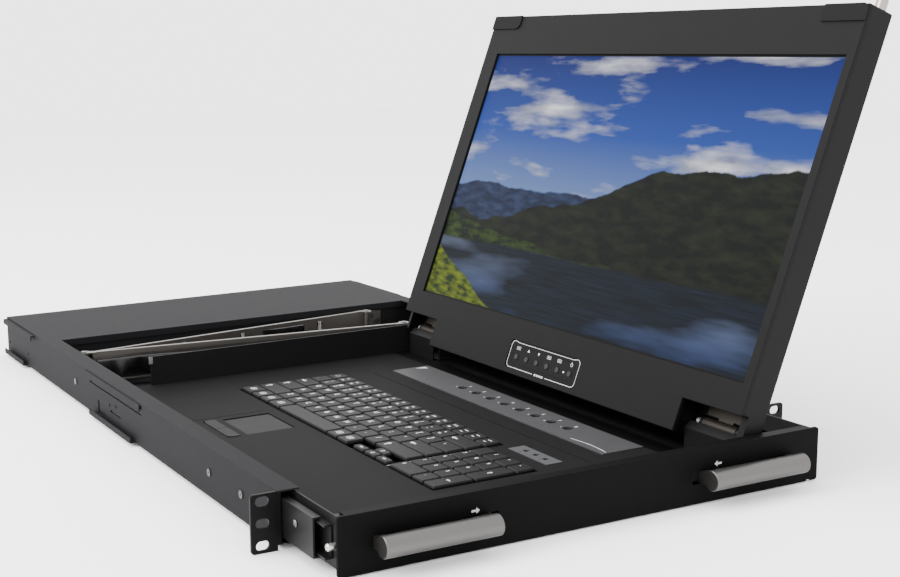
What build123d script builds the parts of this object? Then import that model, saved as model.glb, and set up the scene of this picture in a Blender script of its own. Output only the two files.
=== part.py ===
from build123d import *
from math import asin, cos, radians, sin
import os

os.makedirs("parts", exist_ok=True)

# A one-unit rack console drawer: keyboard, touchpad and an eight-port switch strip in a sliding
# tray, with a wide screen hinged along the tray's right side.
# Origin: centre of the rack ears' screw slots, in the plane of the ears' front face.
# +X is right seen from the front, +Y is to the rear of the rack, +Z is up. Millimetres.

# Case and rack ears
sheet = 1.2
case_half = 221.0
case_rear = 710.0
case_bottom = -18.2
case_top = 21.8
opening_half = 204.5
case_front = -1.0
box_front = 554.5
ear_half_height = 21.2
ear_reach = 241.3
ear_sheet = 2.0
slot_x = 232.55
slot_pitch = 15.875
slot_half = 3.4
slot_length = 10.2

# Tray, front panel and deck
tray_half = 208.0
tray_floor = -16.4
tray_front = -65.5
tray_rear = 440.3
wall_top = 19.8
panel_face = -68.0
panel_half = 210.5
panel_bottom = -20.6
panel_top = 21.4
rim_depth = 6.8
deck_top = -9.2
notch_edge = -148.5

# Screen: leans back past upright, measured about the hinge axis
screen_lean = 20.8
hinge_x = 155.6
hinge_z = 16.6
hinge_depth = 21.0
screen_thick = 25.6
screen_front = -57.4
screen_rear = 438.0
frame_low = 13.75
frame_high = 341.0
chin_low = -13.7
corner_radius = 1.6
chin_front = 7.5
chin_rear = 375.5
view_width = 466.0
view_height = 262.0
view_front = -49.5
view_low = 38.2
bezel_depth = 3.2
shell = 2.0

# Keyboard: its rows run along the drawer, space bar towards -X, number pad to the front
key_pitch = 18.8
pad_pitch = 17.0
function_pitch = 18.0
key_gap = 0.9
keys_rear = 381.0
keys_low_x = -79.5
pad_rear = 95.0
key_bottom = -11.2
key_top = -6.9
key_window_gap = 0.8
key_taper = 9

# Port strip, indicator plate and touchpad
strip_x = (84.5, 126.5)
strip_y = (35.0, 369.5)
button_x = 106.2
button_first_y = 273.2
button_pitch = 23.4
port_count = 8
touchpad_x = (-137.5, -93.0)
touchpad_y = (234.5, 288.0)

# Cable arm: two links folded behind the tray
arm_length = 350.0
arm_pivot_x = 149.0
arm_front_y = tray_rear + sheet + 14.0
arm_rear_y = 540.0
arm_pin = 3.0
pin_clearance = 0.06

# Handles and latches
handle_radius = 7.7
handle_y = -79.0
handle_z = -0.2
handle_inner = 93.0
handle_outer = 184.0
handle_travel = 7.0
latch_y = -61.4
latch_pin = 2.6

sides = (-1, 1)


def block(low, high, mode=Mode.ADD):
    """A box between two opposite corners."""
    centre = tuple((a + b) / 2 for a, b in zip(low, high))
    size = [b - a for a, b in zip(low, high)]
    with Locations(centre):
        Box(*size, mode=mode)


def mirrored_block(side, low, high, mode=Mode.ADD):
    """A box whose X range is given for the right side; side -1 puts it on the left."""
    x_range = sorted((side * low[0], side * high[0]))
    block((x_range[0], low[1], low[2]), (x_range[1], high[1], high[2]), mode)


def rod_x(x_range, y, z, radius, mode=Mode.ADD):
    """A cylinder along X."""
    length = x_range[1] - x_range[0]
    with Locations(Location(((x_range[0] + x_range[1]) / 2, y, z), (0, 90, 0))):
        Cylinder(radius, length, mode=mode)


def rod_y(y_range, x, z, radius, mode=Mode.ADD):
    """A cylinder along Y."""
    length = y_range[1] - y_range[0]
    with Locations(Location((x, (y_range[0] + y_range[1]) / 2, z), (90, 0, 0))):
        Cylinder(radius, length, mode=mode)


def rod_z(z_range, x, y, radius, mode=Mode.ADD):
    """A cylinder along Z."""
    length = z_range[1] - z_range[0]
    with Locations((x, y, (z_range[0] + z_range[1]) / 2)):
        Cylinder(radius, length, mode=mode)


def save(piece, name):
    """Labels a finished piece and writes it under its node name."""
    piece.part.label = name
    export_step(piece.part, f"parts/{name}.step")


# Case: floor, side walls and in-turned top edges folded from one sheet
slide_screws = [(60.7, 1.4), (120.5, 1.4), (455.0, 1.4)]
guide_reach = 5.0
guide_lip = 5.2
hook_z = 19.3
bulkhead_y = box_front + 1.6
cable_slot = (60.0, 118.0)

with BuildPart() as case_pan:
    block((-case_half, ear_sheet, case_bottom), (case_half, case_rear, case_bottom + sheet))
    wall = case_half - sheet
    flange_z = case_top - sheet
    for side in sides:
        mirrored_block(side, (wall, ear_sheet, case_bottom), (case_half, case_rear, flange_z))
        mirrored_block(side, (opening_half, case_front, flange_z), (case_half, box_front - 0.2, case_top))
        # out-turned guides for the rear rack brackets
        hook = case_half + guide_reach
        mirrored_block(side, (case_half, 596, hook_z), (hook, 706, hook_z + sheet))
        mirrored_block(side, (hook - sheet, 596, hook_z - guide_lip + sheet), (hook, 706, hook_z + sheet))
        for guide_start, guide_end in ((288, 402), (630, 706)):
            mirrored_block(
                side, (case_half, guide_start, case_bottom), (hook, guide_end, case_bottom + sheet)
            )
            mirrored_block(
                side, (hook - sheet, guide_start, case_bottom), (hook, guide_end, case_bottom + guide_lip)
            )
        # raised stiffening band over the middle guide, with its slit
        mirrored_block(side, (case_half, 274, 12.8), (case_half + 0.8, 424, 19.6))
        mirrored_block(side, (wall - 1, 268, 15.6), (case_half + 1, 274, 19.4), Mode.SUBTRACT)
        mirrored_block(side, (wall - 1, 270, 10.2), (case_half + 1, 410, 12.5), Mode.SUBTRACT)
        mirrored_block(side, (wall - 1, 325, -5.6), (case_half + 1, 353, -3.4), Mode.SUBTRACT)
        mirrored_block(side, (wall - 1, 384, -14.0), (case_half + 1, 388, -2.0), Mode.SUBTRACT)
        mirrored_block(side, (wall - 1, 368, -14.0), (case_half + 1, 388, -11.5), Mode.SUBTRACT)
        small_holes = [(354, 0.5), (337, 3.0), (661, 12.0), (700, -5.6), (626, -4.9)]
        for y, z in small_holes:
            span = sorted((side * (wall - 1), side * (case_half + 1)))
            rod_x(span, y, z, 1.6, Mode.SUBTRACT)
        for y, z in slide_screws:
            span = sorted((side * (wall - 1), side * (case_half + 1)))
            rod_x(span, y, z, 2.0, Mode.SUBTRACT)
    # partition between the drawer's space and the electronics, with its cable slot
    partition_half = case_half - 0.5
    partition_z = (case_bottom + 0.5, flange_z - 0.1)
    block(
        (-partition_half, bulkhead_y, partition_z[0]),
        (partition_half, bulkhead_y + sheet, partition_z[1]),
    )
    block((cable_slot[0], bulkhead_y - 1, -4), (cable_slot[1], bulkhead_y + 3, 12), Mode.SUBTRACT)
save(case_pan, "case_pan")

# Rear electronics box: cover and connector panel
with BuildPart() as rear_cover:
    block((-case_half, box_front, flange_z), (case_half, case_rear, case_top))
    block((-217, box_front, 15.0), (217, box_front + sheet, flange_z))
    for side in sides:
        mirrored_block(side, (218.4, 560, 10.0), (219.6, 706, flange_z))
save(rear_cover, "rear_cover")


port_x = [104.0 - 34.0 * i for i in range(port_count)]
console_x = -172.0
usb_x = -202.0
port_z = 1.5
inlet_x = 178.0
switch_x = 145.0
panel_y = (708.6, 709.8)
board_top = port_z - 6.3


def d_outline(x, grow):
    """Outline of a D-shaped connector nose, wider at the top."""
    half_top, half_bottom, half_height = 8.4 + grow, 7.4 + grow, 4.1 + grow
    with BuildSketch(Plane.XZ.offset(-(panel_y[0] - 0.2)), mode=Mode.PRIVATE) as outline:
        with BuildLine():
            Polyline(
                (x - half_top, port_z + half_height),
                (x + half_top, port_z + half_height),
                (x + half_bottom, port_z - half_height),
                (x - half_bottom, port_z - half_height),
                close=True,
            )
        make_face()
        fillet(outline.vertices(), radius=2.0)
    return outline.sketch


with BuildPart() as rear_panel:
    block((-218, panel_y[0], case_bottom + sheet + 0.1), (218, panel_y[1], flange_z - 0.1))
    for x in port_x + [console_x]:
        extrude(d_outline(x, 0.4), amount=-3, mode=Mode.SUBTRACT)
        for stud in (-12.5, 12.5):
            rod_y((panel_y[0] - 1, panel_y[1] + 1), x + stud, port_z, 1.7, Mode.SUBTRACT)
    block((usb_x - 7.2, 700, port_z - 6.5), (usb_x + 7.2, 720, port_z + 9.8), Mode.SUBTRACT)
    block((inlet_x - 13.7, 700, port_z - 10.2), (inlet_x + 13.7, 720, port_z + 10.2), Mode.SUBTRACT)
    block((switch_x - 7.0, 700, port_z - 10.5), (switch_x + 7.0, 720, port_z + 10.5), Mode.SUBTRACT)
    for column in range(9):
        vent_x = -30 + column * 8.0
        block((vent_x, 700, 12.5), (vent_x + 4.0, 720, 15.5), Mode.SUBTRACT)
save(rear_panel, "rear_panel")


def video_port(x):
    """A fifteen-pin connector: moulded body behind the panel and a nose through it."""
    block((x - 15.4, 692, port_z - 6.2), (x + 15.4, panel_y[0] - 0.1, port_z + 6.2))
    extrude(d_outline(x, 0), amount=-6.6)
    for row in range(3):
        for pin in range(5):
            pin_x = x - 4.6 + pin * 2.3
            rod_y((712, 716), pin_x, port_z + 2.2 - row * 2.2, 0.5, Mode.SUBTRACT)


with BuildPart() as computer_ports:
    for x in port_x:
        video_port(x)
save(computer_ports, "computer_ports")


with BuildPart() as port_studs:
    for x in port_x + [console_x]:
        for stud in (-12.5, 12.5):
            with BuildSketch(Plane.XZ.offset(-(panel_y[1] + 0.05))):
                with Locations((x + stud, port_z)):
                    RegularPolygon(2.9, 6)
            extrude(amount=-5)
            rod_y((panel_y[0], panel_y[1] + 0.1), x + stud, port_z, 1.5)
            rod_y((panel_y[1] + 1, panel_y[1] + 6), x + stud, port_z, 1.4, Mode.SUBTRACT)
save(port_studs, "port_studs")

# Console side: one video connector and a stacked pair of serial-bus sockets
with BuildPart() as console_ports:
    video_port(console_x)
    block((usb_x - 6.9, 692, port_z - 6.2), (usb_x + 6.9, 711.2, port_z + 9.5))
    for low in (port_z - 5.5, port_z + 2.9):
        block((usb_x - 6.2, 701, low), (usb_x + 6.2, 712, low + 5.6), Mode.SUBTRACT)
        block((usb_x - 5.3, 700.9, low + 2.9), (usb_x + 5.3, 709.5, low + 4.7))
save(console_ports, "console_ports")

with BuildPart() as mains_inlet:
    block((inlet_x - 13.4, 684, port_z - 9.9), (inlet_x + 13.4, panel_y[1], port_z + 9.9))
    block((inlet_x - 15.5, panel_y[1] + 0.05, port_z - 12), (inlet_x + 15.5, 711.8, port_z + 12))
    block((inlet_x - 13.4, panel_y[1] - 0.5, port_z - 9.9), (inlet_x + 13.4, 711.8, port_z + 9.9))
    with BuildSketch(Plane.XZ.offset(-712.0)):
        with BuildLine():
            Polyline(
                (inlet_x - 12, port_z + 4.6),
                (inlet_x - 8.4, port_z + 8.2),
                (inlet_x + 8.4, port_z + 8.2),
                (inlet_x + 12, port_z + 4.6),
                (inlet_x + 12, port_z - 8.2),
                (inlet_x - 12, port_z - 8.2),
                close=True,
            )
        make_face()
    extrude(amount=16, mode=Mode.SUBTRACT)
    for pin_x, pin_z in ((-7, -2), (7, -2), (0, 2)):
        x, z = inlet_x + pin_x, port_z + pin_z
        block((x - 1, 695.9, z - 2), (x + 1, 706.4, z + 2))
save(mains_inlet, "mains_inlet")

# The switch is a rocker in its own frame; the rocker turns about X
switch_axis = 707.0
with BuildPart() as switch_frame:
    block((switch_x - 6.7, 690, port_z - 10.2), (switch_x + 6.7, panel_y[1], port_z + 10.2))
    block((switch_x - 7.8, panel_y[1] + 0.05, port_z - 11.5), (switch_x + 7.8, 711.3, port_z + 11.5))
    block((switch_x - 6.7, panel_y[1] - 0.5, port_z - 10.2), (switch_x + 6.7, 711.3, port_z + 10.2))
    block((switch_x - 5.6, 697, port_z - 9.2), (switch_x + 5.6, 712, port_z + 9.2), Mode.SUBTRACT)
    rod_x((switch_x - 6.4, switch_x + 6.4), switch_axis, port_z, 1.05, Mode.SUBTRACT)
save(switch_frame, "switch_frame")

with BuildPart() as switch_rocker:
    with BuildSketch(Plane.YZ.offset(switch_x - 5.2)):
        with BuildLine():
            Polyline(
                (700.5, port_z - 4.5),
                (700.5, port_z + 4.5),
                (711.8, port_z + 8.0),
                (709.8, port_z),
                (711.8, port_z - 8.0),
                close=True,
            )
        make_face()
    extrude(amount=10.4)
    rod_x((switch_x - 6.2, switch_x + 6.2), switch_axis, port_z, 1.0)
save(switch_rocker, "switch_rocker")

# Electronics inside the rear box
with BuildPart() as main_board:
    block((-212, 575, board_top - 1.6), (128, 704, board_top))
    for column in range(port_count):
        chip_x = port_x[column]
        block((chip_x - 7, 655, board_top), (chip_x + 7, 669, board_top + 1.8))
    block((-60, 600, board_top), (-20, 640, board_top + 2.4))
    for fin in range(9):
        fin_x = -60 + fin * 4.8
        block((fin_x, 600, board_top + 2.4), (fin_x + 1.6, 640, board_top + 12))
    for cap in range(5):
        rod_z((board_top, board_top + 11), 20 + cap * 14, 595, 4.0)
    block((-190, 590, board_top), (-168, 612, board_top + 8))
save(main_board, "main_board")

with BuildPart() as power_supply:
    block((137, 570, -11.6), (213, 680, -10.0))
    block((150, 590, -10.0), (184, 624, 12.0))
    block((190, 584, -10.0), (193, 664, 11.0))
    for cap_y in (640, 662):
        rod_z((-10.0, 12.0), 165, cap_y, 8.0)
    block((140, 640, -10.0), (152, 660, 4.0))
save(power_supply, "power_supply")

# Rack ears: one angle each side, leg inside the case wall
with BuildPart() as rack_ears:
    for side in sides:
        mirrored_block(side, (case_half, 0, -ear_half_height), (ear_reach, ear_sheet, ear_half_height))
        mirrored_block(side, (wall - 1.6, 0, -16.6), (case_half + 1, ear_sheet, 20.2))
        mirrored_block(side, (wall - 1.6, 0, -16.6), (wall - 0.1, 18, 20.2))
    across_ear = rack_ears.edges().filter_by(Axis.Y)
    fillet(across_ear.filter_by(lambda edge: abs(edge.center().X) > ear_reach - 1), radius=2.5)
    with BuildSketch(Plane.XZ.offset(-ear_sheet - 1)):
        with Locations(*[(side * slot_x, slot_pitch * i) for i in (-1, 0, 1) for side in sides]):
            SlotOverall(slot_length, 2 * slot_half)
    extrude(amount=ear_sheet + 2, mode=Mode.SUBTRACT)
save(rack_ears, "rack_ears")

# Telescopic slides: the outer members stay on the case, the inner ones ride on the tray
slide_z = 1.4


def channel(side, x_web, x_tip, y_range, half_height, thick):
    """A slide member: upright web and two flanges that reach from the web to x_tip."""
    web = sorted((x_web, x_web + thick if x_tip > x_web else x_web - thick))
    flange = sorted((x_web, x_tip))
    low, high = slide_z - half_height, slide_z + half_height
    mirrored_block(side, (web[0], y_range[0], low), (web[1], y_range[1], high))
    mirrored_block(side, (flange[0], y_range[0], low), (flange[1], y_range[1], low + thick))
    mirrored_block(side, (flange[0], y_range[0], high - thick), (flange[1], y_range[1], high))


slide_sheet = 1.4
with BuildPart() as slide_outers:
    for side in sides:
        channel(side, 219.7, 209.2, (20, 462), 16.6, slide_sheet)
        for y, z in slide_screws:
            rod_x(sorted((side * 215, side * 220)), y, z, 2.0, Mode.SUBTRACT)
save(slide_outers, "slide_outers")

with BuildPart() as slide_middles:
    for side in sides:
        channel(side, 217.2, 211.0, (-46, 396), 14.2, slide_sheet)
        rod_x(sorted((side * 217.0, side * 217.9)), -20.6, 4.0, 2.6)
save(slide_middles, "slide_middles")

with BuildPart() as slide_inners:
    for side in sides:
        channel(side, 208.1, 214.4, (-57, 438), 11.8, slide_sheet)
save(slide_inners, "slide_inners")

# Tray: floor, side walls and rear wall, with a notch in the rear wall for the cables
inner_wall = tray_half - sheet
with BuildPart() as tray_pan:
    block((-tray_half, tray_front, tray_floor), (tray_half, tray_rear + sheet, tray_floor + 1.0))
    for side in sides:
        mirrored_block(side, (inner_wall, tray_front, tray_floor), (tray_half, tray_rear + sheet, wall_top))
        rod_x(sorted((side * 200, side * 215)), latch_y, handle_z, latch_pin + 0.3, Mode.SUBTRACT)
    block((-tray_half, tray_rear, tray_floor), (tray_half, tray_rear + sheet, wall_top))
    block((-inner_wall, tray_rear - 1, deck_top), (notch_edge, tray_rear + 3, wall_top + 1), Mode.SUBTRACT)
    # corner tabs that close the gap beside the front panel's rim
    for side in sides:
        tab_low = (204.1, tray_front, wall_top - sheet)
        tab_high = (inner_wall + 0.5, tray_front + 9, wall_top)
        mirrored_block(side, tab_low, tab_high)
save(tray_pan, "tray_pan")

# Keyboard layout: widths in key units from the rear of the tray to the front
key_rows = [
    [1.25, 1, 1, 1.25],
    [2.25] + [1] * 10 + [2.75],
    [1.75] + [1] * 11 + [2.25],
    [1.5] + [1] * 12 + [1.5],
    [1] * 13 + [2],
]
space_units = (4.5, 9.5)
right_keys = [(9.5, 1), (10.5, 1)]
main_front = keys_rear - 15 * key_pitch
main_high_x = keys_low_x + 5 * key_pitch + function_pitch
pad_front = pad_rear - 4 * pad_pitch
pad_high_x = keys_low_x + 5 * key_pitch


def key_outlines(cells):
    """Keycap outlines on the keys' base plane, each cell less half the gap all round."""
    with BuildSketch(Plane.XY.offset(key_bottom)) as outlines:
        for x_range, y_range in cells:
            centre = ((x_range[0] + x_range[1]) / 2, (y_range[0] + y_range[1]) / 2)
            with Locations(centre):
                Rectangle(x_range[1] - x_range[0] - key_gap, y_range[1] - y_range[0] - key_gap)
    return outlines.sketch


def row_cells(row, start_units, widths):
    """Cells side by side in one row; start_units counts from the rear end of the keyboard."""
    low_x = keys_low_x + row * key_pitch
    cells = []
    position = start_units
    for width in widths:
        rear = keys_rear - position * key_pitch
        cells.append(((low_x, low_x + key_pitch), (rear - width * key_pitch, rear)))
        position += width
    return cells


def half_cell(start_units, upper):
    """A half-height cell of the arrow cluster in the lowest row."""
    low_x = keys_low_x + (key_pitch / 2 if upper else 0)
    rear = keys_rear - start_units * key_pitch
    return ((low_x, low_x + key_pitch / 2), (rear - key_pitch, rear))


letter_cells = []
for row, widths in enumerate(key_rows):
    letter_cells += row_cells(row, 0, widths)
for start, width in right_keys:
    letter_cells += row_cells(0, start, [width])
for start in (12, 13, 14):
    letter_cells.append(half_cell(start, upper=False))
letter_cells.append(half_cell(13, upper=True))

function_step = 15 * key_pitch / 16
function_low_x = keys_low_x + 5 * key_pitch
function_x = (function_low_x, function_low_x + function_pitch)
function_cells = []
for key in range(16):
    rear = keys_rear - key * function_step
    function_cells.append((function_x, (rear - function_step, rear)))

# number pad: double-width zero, double-height enter and plus
pad_cells = []
for row in range(5):
    low_x = keys_low_x + row * key_pitch
    for column in range(4):
        if (row, column) in ((0, 1), (1, 3), (3, 3)):
            continue
        rows_high = 2 if (row, column) in ((0, 3), (2, 3)) else 1
        columns_wide = 2 if (row, column) == (0, 0) else 1
        rear = pad_rear - column * pad_pitch
        pad_cells.append(((low_x, low_x + rows_high * key_pitch), (rear - columns_wide * pad_pitch, rear)))

for name, cells in (
    ("letter_keys", letter_cells),
    ("space_bar", row_cells(0, space_units[0], [space_units[1] - space_units[0]])),
    ("function_keys", function_cells),
    ("number_pad_keys", pad_cells),
):
    with BuildPart() as keycaps:
        extrude(key_outlines(cells), amount=key_top - key_bottom, taper=key_taper)
    save(keycaps, name)

# Deck: the sunken top plate around keyboard, touchpad and port strip
deck_sheet = 1.2
deck_front = -55.9
window = key_window_gap
touch_buttons_x = (-156.0, -145.0)
touch_split = 262.0
with BuildPart() as deck_plate:
    deck_half = inner_wall - 0.1
    block((-deck_half, deck_front, deck_top - deck_sheet), (deck_half, tray_rear - 0.2, deck_top))
    main_window = (
        (keys_low_x - window, main_front - window, deck_top - 3),
        (main_high_x + window, keys_rear + window, deck_top + 1),
    )
    pad_window = (
        (keys_low_x - window, pad_front - window, deck_top - 3),
        (pad_high_x + window, pad_rear + window, deck_top + 1),
    )
    strip_window = ((strip_x[0], strip_y[0], deck_top - 3), (strip_x[1], strip_y[1], deck_top + 1))
    touchpad_window = (
        (touchpad_x[0] - 0.6, touchpad_y[0] - 0.6, deck_top - 3),
        (touchpad_x[1] + 0.6, touchpad_y[1] + 0.6, deck_top + 1),
    )
    buttons_window = (
        (touch_buttons_x[0] - 0.5, touchpad_y[0] - 1.5, deck_top - 3),
        (touch_buttons_x[1] + 0.5, touchpad_y[1] + 3.0, deck_top + 1),
    )
    for low, high in (main_window, pad_window, strip_window, touchpad_window, buttons_window):
        block(low, high, Mode.SUBTRACT)
    # shallow grooves beside the keyboard and above the touchpad
    block((63.4, 22, deck_top - 0.4), (64.4, 372, deck_top + 1), Mode.SUBTRACT)
    block((-163, 297.6, deck_top - 0.4), (-92, 298.4, deck_top + 1), Mode.SUBTRACT)
save(deck_plate, "deck_plate")

with BuildPart() as keyboard_base:
    base_low, base_high = tray_floor + 1.1, tray_floor + 2.0
    block((keys_low_x - 4, main_front - 1.0, base_low), (main_high_x + 4, keys_rear + 4, base_high))
    block((keys_low_x - 4, pad_front - 4, base_low), (pad_high_x + 4, main_front - 1.0, base_high))
save(keyboard_base, "keyboard_base")

with BuildPart() as touchpad:
    block((touchpad_x[0], touchpad_y[0], deck_top - 3.0), (touchpad_x[1], touchpad_y[1], deck_top - 0.8))
    fillet(touchpad.edges().filter_by(Axis.Z), radius=1.5)
    flange_low = (touchpad_x[0] - 3, touchpad_y[0] - 3, deck_top - 3.0)
    flange_high = (touchpad_x[1] + 3, touchpad_y[1] + 3, deck_top - deck_sheet - 0.1)
    block(flange_low, flange_high)
save(touchpad, "touchpad")

for name, y_low, y_high in (
    ("touch_button_front", touchpad_y[0] - 1.0, touch_split - 0.4),
    ("touch_button_rear", touch_split + 0.4, touchpad_y[1] + 2.5),
):
    with BuildPart() as touch_button:
        block((touch_buttons_x[0], y_low, deck_top - 2.4), (touch_buttons_x[1], y_high, deck_top + 0.6))
        corner_edges = touch_button.edges().filter_by(Axis.Z).sort_by(Axis.X)[:2]
        outer = corner_edges.sort_by(Axis.Y)[0 if name.endswith("front") else -1]
        fillet(outer, radius=5.0)
    save(touch_button, name)

# Port strip: raised plate with eight round openings, its board, and the buttons
strip_top = deck_top + 0.8
button_y = [button_first_y - button_pitch * i for i in range(port_count)]
with BuildPart() as port_strip:
    strip_low = (strip_x[0] + 0.3, strip_y[0] + 0.3, deck_top - deck_sheet)
    strip_high = (strip_x[1] - 0.3, strip_y[1] - 0.3, strip_top)
    block(strip_low, strip_high)
    for y in button_y:
        rod_z((deck_top - 3, strip_top + 1), button_x, y, 3.5, Mode.SUBTRACT)
        rod_z((deck_top - 3, strip_top + 1), button_x - 2.0, y + 7.0, 0.9, Mode.SUBTRACT)
save(port_strip, "port_strip")

with BuildPart() as strip_board:
    block((strip_x[0] + 3, strip_y[0] + 40, tray_floor + 1.1), (strip_x[1] - 3, 300, tray_floor + 2.3))
    for y in button_y:
        rod_z((tray_floor + 2.2, strip_top - 0.3), button_x - 2.0, y + 7.0, 0.8)
        block((button_x - 2, y - 2, tray_floor + 2.2), (button_x + 2, y + 2, tray_floor + 3.4))
save(strip_board, "strip_board")

for number, y in enumerate(button_y, start=1):
    with BuildPart() as port_button:
        rod_z((tray_floor + 4.6, strip_top - 0.6), button_x, y, 3.2)
    save(port_button, f"port_button_{number}")

with BuildPart() as indicator_plate:
    block((29.6, 35.2, deck_top), (45.6, 87.2, deck_top + 0.5))
save(indicator_plate, "indicator_plate")

# Front panel with slots for the sliding handles, and the folded rim behind it
foot_width = 8.0
foot_height = 9.0
foot_slack = 0.5
rim_rear = tray_front + rim_depth
rim_half = opening_half - 0.6
with BuildPart() as front_panel:
    block((-panel_half, panel_face, panel_bottom), (panel_half, tray_front - 0.05, panel_top))
    fillet(front_panel.edges().filter_by(Axis.Y), radius=2.5)
    fillet(front_panel.faces().sort_by(Axis.Y)[0].edges(), radius=0.6)
    for side in sides:
        for foot_x in (handle_inner, handle_outer - foot_width):
            slot_low = foot_x - handle_travel - foot_slack
            slot_high = foot_x + foot_width + foot_slack
            mirrored_block(
                side,
                (slot_low, panel_face - 1, handle_z - foot_height / 2 - foot_slack),
                (slot_high, tray_front + 1, handle_z + foot_height / 2 + foot_slack),
                Mode.SUBTRACT,
            )
    block((199, panel_face - 1, panel_bottom - 1), (204, tray_front, panel_bottom + 1.5), Mode.SUBTRACT)
    # folded rim behind the top edge
    block((-rim_half, panel_face + 1, panel_top - sheet), (rim_half, rim_rear, panel_top))
    block((-rim_half, rim_rear - sheet, deck_top - 4.0), (rim_half, rim_rear, panel_top))
    # room for the latch pins beside the rim's skirt
    for side in sides:
        notch_low = (198.0 - handle_travel - 0.5, rim_rear - sheet - 0.5, handle_z - latch_pin - 0.5)
        notch_high = (rim_half + 1, rim_rear + 0.5, handle_z + latch_pin + 0.5)
        mirrored_block(side, notch_low, notch_high, Mode.SUBTRACT)
save(front_panel, "front_panel")

# Right-hand cover between the hinges and the tray wall
cover_x = 172.0
with BuildPart() as side_cover:
    block((cover_x, rim_rear + 0.2, wall_top - sheet), (inner_wall - 0.1, tray_rear - 0.2, wall_top))
    block((cover_x, rim_rear + 0.2, deck_top + 0.05), (cover_x + sheet, tray_rear - 0.2, wall_top))
save(side_cover, "side_cover")

# Handles: round bars on two feet, each tied to a latch bar behind the panel
for side, name in ((-1, "left"), (1, "right")):
    with BuildPart() as handle:
        bar_span = sorted((side * handle_inner, side * handle_outer))
        rod_x(bar_span, handle_y, handle_z, handle_radius)
        fillet(handle.edges().filter_by(GeomType.CIRCLE), radius=0.8)
        for foot_x in (handle_inner, handle_outer - foot_width):
            mirrored_block(
                side,
                (foot_x, handle_y + 3, handle_z - foot_height / 2),
                (foot_x + foot_width, latch_y - 2.6, handle_z + foot_height / 2),
            )
    save(handle, f"handle_{name}")
    with BuildPart() as latch_bar:
        mirrored_block(
            side, (handle_inner - 4, latch_y - 2.5, handle_z - 4), (201, latch_y + 0.9, handle_z + 4)
        )
        rod_x(sorted((side * 199, side * 215.2)), latch_y, handle_z, latch_pin)
        tip = latch_bar.faces().filter_by(Axis.X).sort_by(Axis.X)[0 if side < 0 else -1]
        chamfer(tip.edges(), length=0.6)
    save(latch_bar, f"latch_bar_{name}")

# Screen hinges: covers and brackets on the deck, leaves and shafts on the screen
hinge_spans = ((-46.0, 1.0), (382.0, 429.0))
ear_thick = 3.0
shaft_radius = 3.0
leaf_inset = 15.5
cover_spans = ((-50.0, 6.8), (386.8, 433.0))
with BuildPart() as hinge_covers:
    for low, high in cover_spans:
        with BuildSketch(Plane.XZ.offset(-low)):
            with BuildLine():
                Polyline(
                    (143.2, deck_top + 0.05),
                    (143.2, 12.8),
                    (149.0, 17.6),
                    (149.8, 16.8),
                    (144.4, 12.2),
                    (144.4, deck_top + 0.05),
                    close=True,
                )
            make_face()
        extrude(amount=-(high - low))
save(hinge_covers, "hinge_covers")

with BuildPart() as hinge_brackets:
    for low, high in hinge_spans:
        block((147.0, low, deck_top + 0.05), (170.5, high, deck_top + 2.0))
        for ear in (low + 2, high - 2 - ear_thick):
            with BuildSketch(Plane.XZ.offset(-ear)):
                with BuildLine():
                    Polyline(
                        (149.5, deck_top + 1.5),
                        (167.5, deck_top + 1.5),
                        (160.4, hinge_z),
                        (150.8, hinge_z),
                        close=True,
                    )
                make_face()
                with Locations((hinge_x, hinge_z)):
                    Circle(4.8)
            extrude(amount=-ear_thick)
            bore_radius = shaft_radius + pin_clearance
            rod_y((ear - 1, ear + ear_thick + 1), hinge_x, hinge_z, bore_radius, Mode.SUBTRACT)
save(hinge_brackets, "hinge_brackets")

lean = radians(screen_lean)
face_origin = (hinge_x - hinge_depth * cos(lean), 0, hinge_z + hinge_depth * sin(lean))
screen_plane = Plane(origin=face_origin, x_dir=(0, 1, 0), z_dir=(cos(lean), 0, -sin(lean)))


def screen_block(y_range, up_range, depth_range, mode=Mode.ADD, corner=0):
    """A box in the screen's own frame: along Y, up the screen, and back from its face."""
    with BuildSketch(screen_plane.offset(depth_range[0])) as outline:
        with Locations(((y_range[0] + y_range[1]) / 2, (up_range[0] + up_range[1]) / 2)):
            if corner:
                RectangleRounded(y_range[1] - y_range[0], up_range[1] - up_range[0], corner)
            else:
                Rectangle(y_range[1] - y_range[0], up_range[1] - up_range[0])
    extrude(outline.sketch, amount=depth_range[1] - depth_range[0], mode=mode)


leaf_depth = (hinge_depth + 1.5, hinge_depth + 2.9)
leaf_low = 7.0
leaf_side = 2.5
with BuildPart() as hinge_arms:
    for low, high in hinge_spans:
        knuckle = (low + 2 + ear_thick + 0.5, high - 2 - ear_thick - 0.5)
        rod_y((low - 3, high + 3), hinge_x, hinge_z, shaft_radius)
        rod_y(knuckle, hinge_x, hinge_z, 5.0)
        screen_block((low + leaf_inset, high - leaf_inset), (0, leaf_low + 1), leaf_depth)
        screen_block((low + leaf_side, high - leaf_side), (leaf_low, 60), leaf_depth)
save(hinge_arms, "hinge_arms")


def screen_disc(y, up, depth_range, radius, mode=Mode.ADD):
    """A disc in the screen's own frame."""
    with BuildSketch(screen_plane.offset(depth_range[0])) as outline:
        with Locations((y, up)):
            Circle(radius)
    extrude(outline.sketch, amount=depth_range[1] - depth_range[0], mode=mode)


def screen_outline(grow, depth):
    """Outline of frame and chin, grown or shrunk, at a depth behind the screen's face."""
    with BuildSketch(screen_plane.offset(depth)) as outline:
        width, height = screen_rear - screen_front, frame_high - frame_low
        with Locations(((screen_front + screen_rear) / 2, (frame_low + frame_high) / 2)):
            RectangleRounded(width + 2 * grow, height + 2 * grow, corner_radius)
        with Locations(((chin_front + chin_rear) / 2, (chin_low + frame_low) / 2 + 5)):
            Rectangle(chin_rear - chin_front + 2 * grow, frame_low - chin_low + 2 * grow + 10)
    return outline.sketch


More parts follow.
